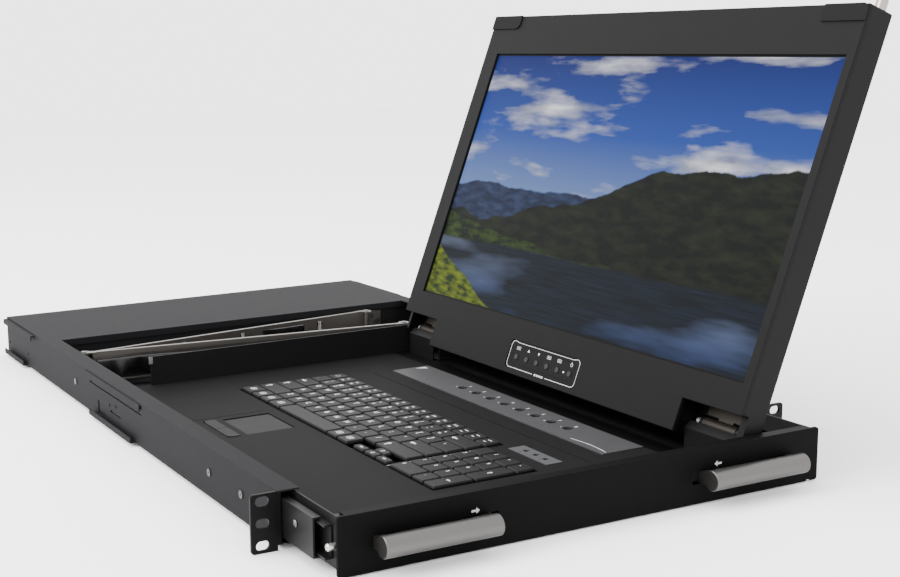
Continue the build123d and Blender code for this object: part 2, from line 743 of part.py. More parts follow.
view_rear = view_front + view_width
view_high = view_low + view_height
osd_y = (138.4, 243.2)
osd_up = (-8.7, 18.8)
osd_button_y = [230.2 - 15.6 * i for i in range(5)] + [150.1]
osd_up_centre = 3.3
power_led_y = 158.2
bezel_sheet = 2.2
with BuildPart() as lcd_bezel:
    extrude(screen_outline(0, 0), amount=bezel_depth)
    front_face = lcd_bezel.faces().sort_by(Axis(face_origin, tuple(screen_plane.z_dir)))[0]
    fillet(front_face.edges(), radius=0.8)
    extrude(screen_outline(-shell, bezel_sheet), amount=bezel_depth, mode=Mode.SUBTRACT)
    screen_block((view_front, view_rear), (view_low, view_high), (-1, bezel_depth), Mode.SUBTRACT)
    screen_block(osd_y, osd_up, (-1, 0.9), Mode.SUBTRACT, corner=4)
    for y in osd_button_y:
        screen_disc(y, osd_up_centre, (-1, 3), 2.9, Mode.SUBTRACT)
    screen_disc(power_led_y, osd_up_centre, (-1, 3), 1.1, Mode.SUBTRACT)
save(lcd_bezel, "lcd_bezel")

back_sheet = 1.6
vent_size = (4.0, 34.0)
with BuildPart() as lcd_rear_cover:
    cover_start = bezel_depth + 0.1
    extrude(screen_outline(0, cover_start), amount=screen_thick - cover_start)
    rear_face = lcd_rear_cover.faces().sort_by(Axis(face_origin, tuple(screen_plane.z_dir)))[-1]
    fillet(rear_face.edges(), radius=1.2)
    hollow_depth = screen_thick - bezel_depth - back_sheet
    extrude(screen_outline(-shell, bezel_depth), amount=hollow_depth, mode=Mode.SUBTRACT)
    for low, high in hinge_spans:
        slot_y = (low + leaf_side - 1, high - leaf_side + 1)
        slot_depth = (leaf_depth[0] - 0.6, screen_thick - back_sheet)
        screen_block(slot_y, (frame_low - 5, frame_low + 5), slot_depth, Mode.SUBTRACT)
    # cheeks beside the hinges and a lip behind them
    for cheek_y in ((screen_front, hinge_spans[0][0] - 5.2), (hinge_spans[1][1] + 5.2, screen_rear)):
        screen_block(cheek_y, (-4.0, frame_low + 3), (8.0, screen_thick))
    screen_block((screen_front, screen_rear), (6.0, frame_low + 3), (24.2, screen_thick))
    with BuildSketch(screen_plane.offset(screen_thick - 4)):
        for vent_up in (77, 267):
            with Locations((191.5, vent_up)):
                with GridLocations(8.4, 1, 24, 1):
                    SlotOverall(vent_size[1], vent_size[0], rotation=90)
    extrude(amount=6, mode=Mode.SUBTRACT)
save(lcd_rear_cover, "lcd_rear_cover")

with BuildPart() as lcd_glass:
    screen_block((view_front - 2.8, view_rear + 5), (view_low - 6, view_high + 6), (bezel_sheet + 0.1, 3.6))
save(lcd_glass, "lcd_glass")

with BuildPart() as backlight:
    screen_block((view_front - 2.6, view_rear + 6), (view_low - 8, view_high + 8), (3.7, 14.0))
save(backlight, "backlight")

with BuildPart() as lcd_boards:
    screen_block((110, 270), (60, 150), (15.0, 16.4))
    screen_block((170, 200), (90, 120), (16.4, 19.0))
    screen_block((125, 150), (70, 84), (16.4, 20.5))
    screen_block((215, 255), (66, 74), (16.4, 21.0))
    for cap in range(4):
        screen_disc(219 + cap * 12, 128, (16.4, 21.0), 3.5)
    # small board behind the menu buttons, with its switches and the power light
    screen_block((osd_y[0] + 2, osd_y[1] - 2), (-9, 9), (6.6, 8.0))
    for y in osd_button_y:
        screen_disc(y, osd_up_centre, (5.5, 6.7), 2.5)
    screen_disc(power_led_y, osd_up_centre, (0.9, 6.7), 0.9)
save(lcd_boards, "lcd_boards")

for name, places in (("osd_menu_buttons", osd_button_y[:-1]), ("osd_power_button", osd_button_y[-1:])):
    with BuildPart() as osd_button:
        for y in places:
            screen_disc(y, osd_up_centre, (0.3, 4.6), 2.55)
            screen_disc(y, osd_up_centre, (3.4, 4.6), 3.6)
    save(osd_button, name)

bumper_up = (327.0, frame_high)
pin_plane = Plane(
    origin=screen_plane.from_local_coords(Vector(-50.5, frame_high + 0.05, 18.0)),
    z_dir=screen_plane.y_dir,
)
with BuildPart() as lid_pin:
    with BuildSketch(pin_plane):
        Circle(4.5)
    extrude(amount=9.5)
    chamfer(lid_pin.edges().filter_by(GeomType.CIRCLE), length=0.6)
save(lid_pin, "lid_pin")

with BuildPart() as corner_bumpers:
    for outer_y, inner_y in ((screen_front, -14.0), (screen_rear, 390.0)):
        with BuildSketch(screen_plane.offset(-1.4)) as bumper:
            with Locations(((outer_y + inner_y) / 2, (bumper_up[0] + bumper_up[1]) / 2)):
                Rectangle(abs(inner_y - outer_y), bumper_up[1] - bumper_up[0])
            lower_corners = bumper.vertices().sort_by(Axis(face_origin, tuple(screen_plane.y_dir)))[:2]
            inner_corner = lower_corners.sort_by(Axis.Y)[-1 if outer_y < inner_y else 0]
            fillet(inner_corner, radius=6.0)
        extrude(amount=1.35)
save(corner_bumpers, "corner_bumpers")

# Cable arm: front link hinged to the tray, rear link hinged to the case, meeting at the left
fold = asin((arm_rear_y - arm_front_y) / 2 / arm_length)
front_link_dir = (-cos(fold), sin(fold), 0)
rear_link_dir = (-cos(fold), -sin(fold), 0)
front_link_plane = Plane(origin=(arm_pivot_x, arm_front_y, 0), x_dir=front_link_dir, z_dir=(0, 0, 1))
rear_link_plane = Plane(origin=(arm_pivot_x, arm_rear_y, 0), x_dir=rear_link_dir, z_dir=(0, 0, 1))
link_sheet = 1.2
link_depth = 12.0
upper_flange = 4.5
front_link_z = (-9.6, 19.4)
rear_link_z = (-8.0, 17.8)


def link_block(plane, along, across, z_range, mode=Mode.ADD):
    """A box in a link's frame: along the link, across it towards the front, and up."""
    with BuildSketch(plane.offset(z_range[0])) as outline:
        with Locations(((along[0] + along[1]) / 2, (across[0] + across[1]) / 2)):
            Rectangle(along[1] - along[0], across[1] - across[0])
    extrude(outline.sketch, amount=z_range[1] - z_range[0], mode=mode)


def link_disc(plane, along, z_range, radius, mode=Mode.ADD):
    """A disc on a link's centre line."""
    with BuildSketch(plane.offset(z_range[0])) as outline:
        with Locations((along, 0)):
            Circle(radius)
    extrude(outline.sketch, amount=z_range[1] - z_range[0], mode=mode)


def link_channel(plane, front, z_range):
    """Folded channel of one link: web beside the centre line, flanges on its front or rear."""
    face = 0.5 * front
    web = sorted((face, face + link_sheet * front))
    flange = sorted((face, link_depth * front))
    levels = ((z_range[0], z_range[0] + link_sheet), (z_range[1] - link_sheet, z_range[1]))
    link_block(plane, (9, arm_length - 9), web, z_range)
    link_block(plane, (9, arm_length - 9), flange, levels[0])
    link_block(plane, (9, arm_length - 9), sorted((face, upper_flange * front)), levels[1])
    for level in levels:
        link_block(plane, (0, 12), sorted((face, 6 * front)), level)
        link_block(plane, (arm_length - 12, arm_length), sorted((face, 6 * front)), level)
        link_disc(plane, 0, level, 6)
        link_disc(plane, arm_length, level, 6)
        link_disc(plane, 0, (level[0] - 1, level[1] + 1), arm_pin + pin_clearance, Mode.SUBTRACT)


with BuildPart() as arm_front_link:
    link_channel(front_link_plane, 1, front_link_z)
    # open notch for the joint pin, which leaves it as the drawer comes out
    link_disc(front_link_plane, arm_length, (-12, 22), arm_pin + 0.7, Mode.SUBTRACT)
    link_block(front_link_plane, (arm_length - 3.7, arm_length + 8), (-8, 0), (-12, 22), Mode.SUBTRACT)
save(arm_front_link, "arm_front_link")

with BuildPart() as arm_rear_link:
    link_channel(rear_link_plane, -1, rear_link_z)
    link_disc(rear_link_plane, arm_length, (rear_link_z[0], front_link_z[1] + 0.6), arm_pin)
    link_block(rear_link_plane, (84, 138), (-3, 0), (2, 13), Mode.SUBTRACT)
    for slot in (60, 160, 232, 290):
        link_block(rear_link_plane, (slot, slot + 7), (-3, 0), (9, 12.5), Mode.SUBTRACT)
save(arm_rear_link, "arm_rear_link")

with BuildPart() as arm_case_bracket:
    block((141, bulkhead_y - 1.6, -12.6), (176, bulkhead_y - 0.05, 13.6))
    block((141, arm_rear_y - 8, -12.6), (157, bulkhead_y - 0.05, -10.8))
    rod_z((-12.6, rear_link_z[1] + 0.8), arm_pivot_x, arm_rear_y, arm_pin)
save(arm_case_bracket, "arm_case_bracket")

with BuildPart() as arm_tray_bracket:
    tray_back = tray_rear + sheet
    block((141, tray_back + 0.05, -12.6), (176, tray_back + 1.6, 13.6))
    block((141, tray_back + 0.05, -12.6), (157, arm_front_y + 8, -10.8))
    rod_z((-12.6, front_link_z[1] + 0.8), arm_pivot_x, arm_front_y, arm_pin)
save(arm_tray_bracket, "arm_tray_bracket")

# Screws: pan heads, grouped by the body that carries them
head_radius = 3.0
head_height = 0.9
with BuildPart() as case_screws:
    for side in sides:
        for y, z in slide_screws:
            rod_x(sorted((side * (case_half + 0.02), side * (case_half + head_height))), y, z, head_radius)
            rod_x(sorted((side * 218.4, side * (case_half + 0.1))), y, z, 1.9)
    for x, z in ((163, 9), (171, 2), (163, -5)):
        rod_y((bulkhead_y - 3.2, bulkhead_y - 1.62), x, z, 2.8)
save(case_screws, "case_screws")

with BuildPart() as tray_screws:
    tray_back = tray_rear + sheet
    for x, z in ((163, 9), (171, 2), (163, -5)):
        rod_y((tray_back + 1.62, tray_back + 3.2), x, z, 2.8)
    for low, high in hinge_spans:
        for y in (low + 9, high - 9):
            rod_z((deck_top + 2.02, deck_top + 3.4), 163.5, y, 2.6)
save(tray_screws, "tray_screws")
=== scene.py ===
from math import atan2, cos, pi, radians, sin, sqrt

import bmesh
import bpy
from mathutils import Matrix, Vector


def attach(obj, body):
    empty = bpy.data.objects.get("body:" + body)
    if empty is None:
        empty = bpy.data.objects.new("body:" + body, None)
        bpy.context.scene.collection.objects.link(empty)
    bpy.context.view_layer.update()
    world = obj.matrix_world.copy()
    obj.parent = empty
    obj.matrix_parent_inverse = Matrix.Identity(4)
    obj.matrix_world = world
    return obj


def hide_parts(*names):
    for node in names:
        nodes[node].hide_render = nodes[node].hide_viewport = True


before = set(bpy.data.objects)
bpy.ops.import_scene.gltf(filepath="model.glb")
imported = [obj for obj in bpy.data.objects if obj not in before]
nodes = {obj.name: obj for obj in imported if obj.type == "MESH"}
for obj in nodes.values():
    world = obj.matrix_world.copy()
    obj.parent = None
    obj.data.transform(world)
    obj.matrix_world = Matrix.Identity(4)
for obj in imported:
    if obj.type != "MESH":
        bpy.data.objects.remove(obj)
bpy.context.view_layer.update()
MM = 0.001

# ------------------------------------------------------------------ places
# Planes that pieces are drawn on, as 4x4 matrices whose units are millimetres.


def plane(origin, x_dir, y_dir):
    """Matrix from a plane's own millimetres to the row frame in metres."""
    x_dir, y_dir = Vector(x_dir).normalized(), Vector(y_dir).normalized()
    z_dir = x_dir.cross(y_dir)
    turn = Matrix((x_dir, y_dir, z_dir)).transposed().to_4x4()
    return Matrix.Translation(Vector(origin) * MM) @ turn @ Matrix.Scale(MM, 4)


LEAN = radians(20.8)
HINGE_X, HINGE_Z, HINGE_DEPTH = 155.6, 16.6, 21.0
SCREEN_UP = Vector((sin(LEAN), 0, cos(LEAN)))
SCREEN_BACK = Vector((cos(LEAN), 0, -sin(LEAN)))
SCREEN_ORIGIN = Vector((HINGE_X, 0, HINGE_Z)) - SCREEN_BACK * HINGE_DEPTH
DECK_TOP = -9.2
STRIP_TOP = -8.4
KEY_TOP = -6.9
PANEL_FACE = -68.0


def on_screen(across, up, depth=0.0):
    """A plane facing the user on the screen; across is world Y, depth counts back from the face."""
    origin = SCREEN_ORIGIN + Vector((0, across, 0)) + SCREEN_UP * up + SCREEN_BACK * depth
    return plane(origin, (0, -1, 0), SCREEN_UP)


def on_deck(x, y, z=DECK_TOP):
    """A plane that reads from the keyboard user's side."""
    return plane((x, y, z), (0, -1, 0), (1, 0, 0))


def on_panel(x, z, y=PANEL_FACE):
    return plane((x, y, z), (1, 0, 0), (0, 0, 1))


def on_rear(x, z, y=709.8):
    return plane((x, y, z), (-1, 0, 0), (0, 0, 1))


# --------------------------------------------------------------- materials


def shade(value):
    """Linear grey of a display value from 0 to 255."""
    return (value / 255.0) ** 2.2


def new_material(name):
    material = bpy.data.materials.new(name)
    material.use_nodes = True
    return material, material.node_tree.nodes, material.node_tree.links


def mix_colors(made, link, fac, first, second):
    """A colour mix of two sockets or constants, steered by a socket."""
    node = made.new("ShaderNodeMix")
    node.data_type = "RGBA"
    link.new(fac, node.inputs["Factor"])
    for slot, value in ((6, first), (7, second)):
        if isinstance(value, tuple):
            node.inputs[slot].default_value = value
        else:
            link.new(value, node.inputs[slot])
    return node.outputs[2]


def zone_mask(made, link, place, rule):
    """1 inside a zone: ("x", limit) past |x|, ("+x", limit) past x, or ("near", x, z, radius), in metres."""
    parts = made.new("ShaderNodeSeparateXYZ")
    link.new(place.outputs["Object"], parts.inputs["Vector"])
    test = made.new("ShaderNodeMath")
    if rule[0] == "near":
        apart = made.new("ShaderNodeCombineXYZ")
        for axis, value in (("X", rule[1]), ("Z", rule[2])):
            gap = made.new("ShaderNodeMath")
            gap.operation = "SUBTRACT"
            gap.inputs[1].default_value = value
            link.new(parts.outputs[axis], gap.inputs[0])
            link.new(gap.outputs[0], apart.inputs[axis])
        length = made.new("ShaderNodeVectorMath")
        length.operation = "LENGTH"
        link.new(apart.outputs[0], length.inputs[0])
        test.operation = "LESS_THAN"
        test.inputs[1].default_value = rule[3]
        link.new(length.outputs["Value"], test.inputs[0])
        return test.outputs[0]
    test.operation = "GREATER_THAN"
    test.inputs[1].default_value = rule[1]
    source = parts.outputs["X"]
    if rule[0] == "x":
        size = made.new("ShaderNodeMath")
        size.operation = "ABSOLUTE"
        link.new(source, size.inputs[0])
        source = size.outputs[0]
    link.new(source, test.inputs[0])
    return test.outputs[0]


def surface(name, color, rough, metal=0.0, grain=900.0, bump=0.15, vary=0.12, stretch=(1, 1, 1), spots=60.0,
            wear=0.0, spec=0.2, zone=None, zone_color=None, zone_metal=None):
    """A moulded, painted or metal surface: fine grain, uneven gloss, soft blotches and worn edges.

    zone gives another colour, and metal or not, to part of a node, such as a plated pin on a black bar."""
    material, made, link = new_material(name)
    shader = made["Principled BSDF"]
    shader.inputs["Metallic"].default_value = metal
    shader.inputs["Specular IOR Level"].default_value = spec
    place = made.new("ShaderNodeTexCoord")
    mapping = made.new("ShaderNodeMapping")
    mapping.inputs["Scale"].default_value = stretch
    link.new(place.outputs["Object"], mapping.inputs["Vector"])
    fine = made.new("ShaderNodeTexNoise")
    fine.inputs["Scale"].default_value = grain
    fine.inputs["Detail"].default_value = 3.0
    link.new(mapping.outputs["Vector"], fine.inputs["Vector"])
    broad = made.new("ShaderNodeTexNoise")
    broad.inputs["Scale"].default_value = spots
    broad.inputs["Detail"].default_value = 4.0
    link.new(mapping.outputs["Vector"], broad.inputs["Vector"])
    darker = tuple(c * (1 - vary) for c in color) + (1,)
    lighter = tuple(min(1, c * (1 + vary)) for c in color) + (1,)
    out = mix_colors(made, link, broad.outputs["Fac"], darker, lighter)
    if wear:
        bevel = made.new("ShaderNodeBevel")
        bevel.inputs["Radius"].default_value = 0.0007
        geometry = made.new("ShaderNodeNewGeometry")
        dot = made.new("ShaderNodeVectorMath")
        dot.operation = "DOT_PRODUCT"
        link.new(bevel.outputs["Normal"], dot.inputs[0])
        link.new(geometry.outputs["Normal"], dot.inputs[1])
        edge = made.new("ShaderNodeMapRange")
        edge.inputs["From Min"].default_value = 0.97
        edge.inputs["From Max"].default_value = 0.75
        edge.inputs["To Max"].default_value = wear
        link.new(dot.outputs["Value"], edge.inputs["Value"])
        worn = tuple(min(1, c * 3 + 0.02) for c in color) + (1,)
        out = mix_colors(made, link, edge.outputs["Result"], out, worn)
    if zone:
        mask = zone_mask(made, link, place, zone)
        out = mix_colors(made, link, mask, out, zone_color + (1,))
        if zone_metal is not None:
            blend = made.new("ShaderNodeMapRange")
            blend.inputs["To Min"].default_value = metal
            blend.inputs["To Max"].default_value = zone_metal
            link.new(mask, blend.inputs["Value"])
            link.new(blend.outputs["Result"], shader.inputs["Metallic"])
    link.new(out, shader.inputs["Base Color"])
    gloss = made.new("ShaderNodeMapRange")
    gloss.inputs["To Min"].default_value = max(0.05, rough - 0.08)
    gloss.inputs["To Max"].default_value = min(1.0, rough + 0.08)
    link.new(fine.outputs["Fac"], gloss.inputs["Value"])
    link.new(gloss.outputs["Result"], shader.inputs["Roughness"])
    relief = made.new("ShaderNodeBump")
    relief.inputs["Strength"].default_value = bump
    relief.inputs["Distance"].default_value = 0.0002
    link.new(fine.outputs["Fac"], relief.inputs["Height"])
    link.new(relief.outputs["Normal"], shader.inputs["Normal"])
    return material


def glow(name, color, strength):
    material, made, link = new_material(name)
    shader = made["Principled BSDF"]
    shader.inputs["Base Color"].default_value = color + (1,)
    shader.inputs["Emission Color"].default_value = color + (1,)
    shader.inputs["Emission Strength"].default_value = strength
    return material


def grey(name, value, rough, blue=1.0, **more):
    level = shade(value)
    return surface(name, (level, level, level * blue), rough, **more)


CASE = grey("case_powder_coat", 30, 0.65, blue=1.1, grain=1400, bump=0.25, wear=0.12, spec=0.04)
# The front panel and rack ears wear the case's black coat; their darker grey is painted shade for faces that
# turn to the front, away from the key light.
PANEL_COAT_PAINTED_SHADE = grey("panel_coat_painted_shade", 16, 0.55, blue=1.05, grain=1500, bump=0.3, wear=0.04, spec=0.03)
EAR_COAT_PAINTED_SHADE = grey("ear_coat_painted_shade", 13, 0.5, blue=1.1, grain=1500, bump=0.3, wear=0.05, spec=0.1)
TRAY = grey("tray_dark_coat", 23, 0.5, blue=1.08, grain=1300, bump=0.2, wear=0.05, spec=0.1)
COVER = grey("side_cover_coat", 12, 0.75, grain=1300, bump=0.2, wear=0.03, spec=0.015)
# The deck past x 127.5 mm, under the screen's chin between the port strip and the hinge, is painted near
# black as painted shade.
DECK = grey("deck_plastic_painted_shade", 25, 0.7, blue=1.03, grain=2200, bump=0.25, wear=0.03, spec=0.04,
            zone=("+x", 0.1275), zone_color=(0.0012, 0.0012, 0.0012))
BEZEL = grey("bezel_plastic", 22, 0.55, blue=1.02, grain=2400, bump=0.22, wear=0.08, spec=0.06)
# The screen shell is the bezel's black plastic; its darker grey is painted shade for its side, which faces
# the front.
SHELL_PAINTED_SHADE = grey("screen_shell_painted_shade", 12, 0.5, grain=1800, bump=0.3, wear=0.05, spec=0.1)
HINGE_COVER = grey("hinge_cover_coat", 20, 0.5, grain=1500, bump=0.2, wear=0.05, spec=0.1)
KEYS = grey("keycap_plastic", 19, 0.55, grain=2600, bump=0.2, wear=0.05, spec=0.12)
STRIP = grey("strip_grey_plastic_and_dimple_highlight", 54, 0.5, blue=1.04, grain=2200, bump=0.15, wear=0.1, spec=0.15)
PLATE = grey("indicator_grey", 60, 0.5, blue=1.05, grain=2200, bump=0.1, spec=0.15)
PAD = grey("touchpad_grey", 38, 0.6, blue=1.04, grain=3000, bump=0.15, spec=0.05)
BUTTON = grey("black_button", 15, 0.4, grain=1800, bump=0.1, spec=0.2)
MENU_BUTTON = grey("menu_button_grey", 30, 0.45, grain=1800, bump=0.1, spec=0.2)
RUBBER = grey("black_rubber", 17, 0.75, grain=1600, bump=0.35, spec=0.1)
FILM = grey("black_cable_film", 13, 0.3, grain=260, bump=0.5, spec=0.35)
STEEL = surface("zinc_steel", (0.2, 0.2, 0.205), 0.4, metal=1.0, grain=700, bump=0.08, vary=0.08,
                stretch=(0.15, 1, 1))
ARM_STEEL = surface("arm_steel", (0.13, 0.12, 0.11), 0.45, metal=1.0, grain=700, bump=0.1, vary=0.1)
DARK_STEEL = surface("blackened_steel", (0.006, 0.006, 0.0065), 0.45, metal=0.3, grain=900, bump=0.15,
                     wear=0.1, spec=0.15)
LATCH_STEEL = surface("latch_bar_finish", (0.006, 0.006, 0.0065), 0.35, grain=900, bump=0.1, spec=0.15,
                      zone=("x", 0.2035), zone_color=(0.5, 0.49, 0.47), zone_metal=1.0)
SCREW_BLACK = surface("screw_finish", (0.02, 0.02, 0.022), 0.35, grain=900, bump=0.1, spec=0.3)
ALUMINIUM = surface("satin_aluminium", (0.095, 0.092, 0.088), 0.42, metal=1.0, grain=900, bump=0.12,
                    vary=0.06, stretch=(0.06, 1, 1))
LEAF = surface("hinge_leaf_steel", (0.032, 0.028, 0.024), 0.5, metal=0.8, grain=700, bump=0.12, vary=0.1,
               zone=("near", 0.1556, 0.0166, 0.0034), zone_color=(0.5, 0.5, 0.5), zone_metal=1.0)
BRIGHT = surface("bright_screw", (0.5, 0.49, 0.47), 0.3, metal=1.0, grain=900, bump=0.08, vary=0.05)
PIN_METAL = surface("lid_pin_metal", (0.32, 0.27, 0.24), 0.35, metal=1.0, grain=900, bump=0.1, vary=0.08)
BOARD = surface("board_green", (0.006, 0.05, 0.02), 0.4, grain=500, bump=0.3, vary=0.25)
PARTS = surface("power_board_parts", (0.12, 0.09, 0.035), 0.5, grain=400, bump=0.3, vary=0.3)
CONNECTOR = surface("connector_blue", (0.01, 0.02, 0.14), 0.4, grain=1500, bump=0.15)
INK = surface("white_print", (0.42, 0.42, 0.43), 0.6, grain=1200, bump=0.05, vary=0.05)
FAINT_INK = surface("grey_print", (0.1, 0.1, 0.1), 0.6, grain=1200, bump=0.05, vary=0.05)
# Near black for print, and for painted shade in the deck and menu grooves and in screw cross recesses.
DARK_PRINT_AND_SHADE = surface("dark_print_and_painted_shade", (0.002, 0.002, 0.002), 0.5, grain=1200, bump=0.05, spec=0.05)
TIE = surface("cable_tie_nylon", (0.3, 0.3, 0.28), 0.45, grain=800, bump=0.1)
HOLLOW = surface("unlit_recess", (0.001, 0.001, 0.001), 0.8, grain=900, bump=0.1, spec=0.05)
LAMP = glow("power_light", (0.5, 0.6, 0.55), 0.4)
PORT_LAMP = surface("lens_white", (0.4, 0.41, 0.4), 0.25, grain=500, bump=0.05)

FINISHES = {
    CASE: ["case_pan", "rear_cover", "rear_panel"],
    EAR_COAT_PAINTED_SHADE: ["rack_ears"],
    PANEL_COAT_PAINTED_SHADE: ["front_panel"],
    TRAY: ["tray_pan"],
    COVER: ["side_cover"],
    DECK: ["deck_plate"],
    BEZEL: ["lcd_bezel"],
    SHELL_PAINTED_SHADE: ["lcd_rear_cover"],
    HINGE_COVER: ["hinge_covers"],
    KEYS: ["letter_keys", "space_bar", "function_keys", "number_pad_keys"],
    STRIP: ["port_strip"],
    PLATE: ["indicator_plate"],
    PAD: ["touchpad", "touch_button_front", "touch_button_rear"],
    BUTTON: ["switch_rocker", "switch_frame", "mains_inlet", "console_ports"]
    + [f"port_button_{i}" for i in range(1, 9)],
    MENU_BUTTON: ["osd_menu_buttons", "osd_power_button"],
    RUBBER: ["corner_bumpers"],
    STEEL: ["backlight", "tray_screws", "port_studs"],
    ARM_STEEL: ["arm_front_link", "arm_rear_link", "arm_case_bracket", "arm_tray_bracket"],
    DARK_STEEL: ["slide_outers", "slide_middles", "slide_inners", "hinge_brackets", "keyboard_base"],
    LATCH_STEEL: ["latch_bar_left", "latch_bar_right"],
    SCREW_BLACK: ["case_screws"],
    ALUMINIUM: ["handle_left", "handle_right"],
    LEAF: ["hinge_arms"],
    PIN_METAL: ["lid_pin"],
    BOARD: ["main_board", "lcd_boards", "strip_board"],
    PARTS: ["power_supply"],
    CONNECTOR: ["computer_ports"],
    HOLLOW: ["lcd_glass"],
}
for material, names in FINISHES.items():
    for name in names:
        piece = nodes[name]
        for entry in piece.material_slots:
            entry.material = material
        if not piece.material_slots:
            piece.data.materials.append(material)

# ------------------------------------------------------------ mesh helpers


def finish_mesh(name, build, material, body):
    """Turns a bmesh into a piece that rides on a body."""
    data = bpy.data.meshes.new(name)
    bmesh.ops.recalc_face_normals(build, faces=build.faces)
    build.to_mesh(data)
    build.free()
    piece = bpy.data.objects.new(name, data)
    bpy.context.scene.collection.objects.link(piece)
    data.materials.append(material)
    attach(piece, body)
    return piece


def add_prism(build, place, outline, thick, base=0.0):
    """A flat outline in millimetres, raised from base to base plus thick on its plane."""
    low = [build.verts.new(place @ Vector((x, y, base))) for x, y in outline]
    high = [build.verts.new(place @ Vector((x, y, base + thick))) for x, y in outline]
    count = len(outline)
    build.faces.new(low[::-1])
    build.faces.new(high)
    for i in range(count):
        build.faces.new((low[i], low[(i + 1) % count], high[(i + 1) % count], high[i]))


def disc(radius, count=24, x=0.0, y=0.0):
    angles = [2 * pi * i / count for i in range(count)]
    return [(x + radius * cos(angle), y + radius * sin(angle)) for angle in angles]


def bar(x0, x1, y0, y1):
    return [(x0, y0), (x1, y0), (x1, y1), (x0, y1)]


def rounded(width, height, radius, steps=6):
    """Outline of a rounded rectangle about its centre."""
    points = []
    for cx, cy, start in ((1, 1, 0), (-1, 1, 90), (-1, -1, 180), (1, -1, 270)):
        for i in range(steps + 1):
            angle = radians(start + 90 * i / steps)
            x = cx * (width / 2 - radius) + radius * cos(angle)
            y = cy * (height / 2 - radius) + radius * sin(angle)
            points.append((x, y))
    return points


def add_band(build, place, outer, inner, thick):
    """A closed band between two outlines of the same point count."""
    count = len(outer)
    rings = [[build.verts.new(place @ Vector((x, y, z))) for x, y in line]
             for z in (0.0, thick) for line in (outer, inner)]
    outer_low, inner_low, outer_high, inner_high = rings
    for i in range(count):
        j = (i + 1) % count
        build.faces.new((outer_low[i], inner_low[i], inner_low[j], outer_low[j]))
        build.faces.new((outer_high[i], outer_high[j], inner_high[j], inner_high[i]))
        build.faces.new((outer_low[i], outer_low[j], outer_high[j], outer_high[i]))
        build.faces.new((inner_low[i], inner_high[i], inner_high[j], inner_low[j]))


def add_stroke(build, place, points, width, thick=0.06):
    """A printed line of even width through points on a plane."""
    left, right = [], []
    for i, (x, y) in enumerate(points):
        ax, ay = points[max(i - 1, 0)]
        bx, by = points[min(i + 1, len(points) - 1)]
        length = sqrt((bx - ax) ** 2 + (by - ay) ** 2)
        nx, ny = -(by - ay) / length * width / 2, (bx - ax) / length * width / 2
        left.append((x + nx, y + ny))
        right.append((x - nx, y - ny))
    for i in range(len(points) - 1):
        add_prism(build, place, [right[i], right[i + 1], left[i + 1], left[i]], thick)


def add_keycap(build, low_x, high_x, low_y, high_y):
    """A moulded cap in millimetres of the row frame: steep sides, sloped front, round corners, dished top."""
    rings = []
    for level, front, back, sides, corner in (
        (-10.4, 0.45, 0.45, 0.45, 1.0), (-7.5, 1.25, 0.75, 1.25, 1.5), (-7.0, 1.75, 1.05, 1.65, 1.8),
        (-6.9, 2.3, 1.5, 2.2, 1.9), (-7.02, 3.4, 2.6, 3.4, 2.0),
    ):
        x0, x1, y0, y1 = low_x + front, high_x - back, low_y + sides, high_y - sides
        corner = min(corner, (x1 - x0) / 2.2, (y1 - y0) / 2.2)
        centre = Vector(((x0 + x1) / 2, (y0 + y1) / 2, level))
        rings.append([build.verts.new((centre + Vector((x, y, 0))) * MM)
                      for x, y in rounded(x1 - x0, y1 - y0, corner, 3)])
    for first, second in zip(rings, rings[1:]):
        for k in range(len(first)):
            j = (k + 1) % len(first)
            build.faces.new((first[k], first[j], second[j], second[k]))
    build.faces.new(rings[0][::-1])
    build.faces.new(rings[-1])


def add_dome(build, place, radius, height, hollow=0.0):
    """A domed screw or rivet head on a plane."""
    rings = []
    for i in range(5):
        angle = radians(90 * i / 5)
        rings.append([build.verts.new(place @ Vector((x, y, height * sin(angle))))
                      for x, y in disc(radius * cos(angle), 20)])
    top = build.verts.new(place @ Vector((0, 0, height - hollow)))
    for first, second in zip(rings, rings[1:]):
        for k in range(20):
            j = (k + 1) % 20
            build.faces.new((first[k], first[j], second[j], second[k]))
    for k in range(20):
        build.faces.new((rings[-1][k], rings[-1][(k + 1) % 20], top))
    build.faces.new(rings[0][::-1])


def add_letter(build, place, text, height, thick=0.05):
    """A single generic character, centred on its plane."""
    curve = bpy.data.curves.new("glyph", "FONT")
    curve.body = text
    curve.align_x, curve.align_y = "CENTER", "CENTER"
    curve.size = height * 1.35
    curve.extrude = thick / 2
    curve.offset = height * 0.035
    curve.resolution_u = 2
    holder = bpy.data.objects.new("glyph", curve)
    data = bpy.data.meshes.new_from_object(holder)
    data.transform(place @ Matrix.Translation((0, 0, thick / 2 + 0.01)))
    build.from_mesh(data)
    bpy.data.objects.remove(holder)
    bpy.data.curves.remove(curve)
    bpy.data.meshes.remove(data)


# ------------------------------------------------------------- key legends
KEY_PITCH, FUNCTION_STEP, PAD_PITCH = 18.8, 15 * 18.8 / 16, 17.0
KEYS_REAR, KEYS_LOW_X, PAD_REAR = 381.0, -79.5, 95.0
ARROW = [(-2.2, 0.5), (0.4, 0.5), (0.4, 1.5), (2.3, 0), (0.4, -1.5), (0.4, -0.5), (-2.2, -0.5)]


def turned(outline, angle, scale=1.0):
    c, s = cos(radians(angle)) * scale, sin(radians(angle)) * scale
    return [(x * c - y * s, x * s + y * c) for x, y in outline]


def key_cells(row, start, widths):
    """Cells of keys side by side in one row, in millimetres of the row frame."""
    x = KEYS_LOW_X + row * KEY_PITCH
    cells = []
    for width in widths:
        rear = KEYS_REAR - start * KEY_PITCH
        cells.append((x, x + KEY_PITCH, rear - width * KEY_PITCH, rear))
        start += width
    return cells


def add_caps(name, cells, node):
    build = bmesh.new()
    for cell in cells:
        add_keycap(build, *cell)
    piece = finish_mesh(name, build, KEYS, node)
    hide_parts(node)
    for polygon in piece.data.polygons:
        polygon.use_smooth = len(polygon.vertices) == 4


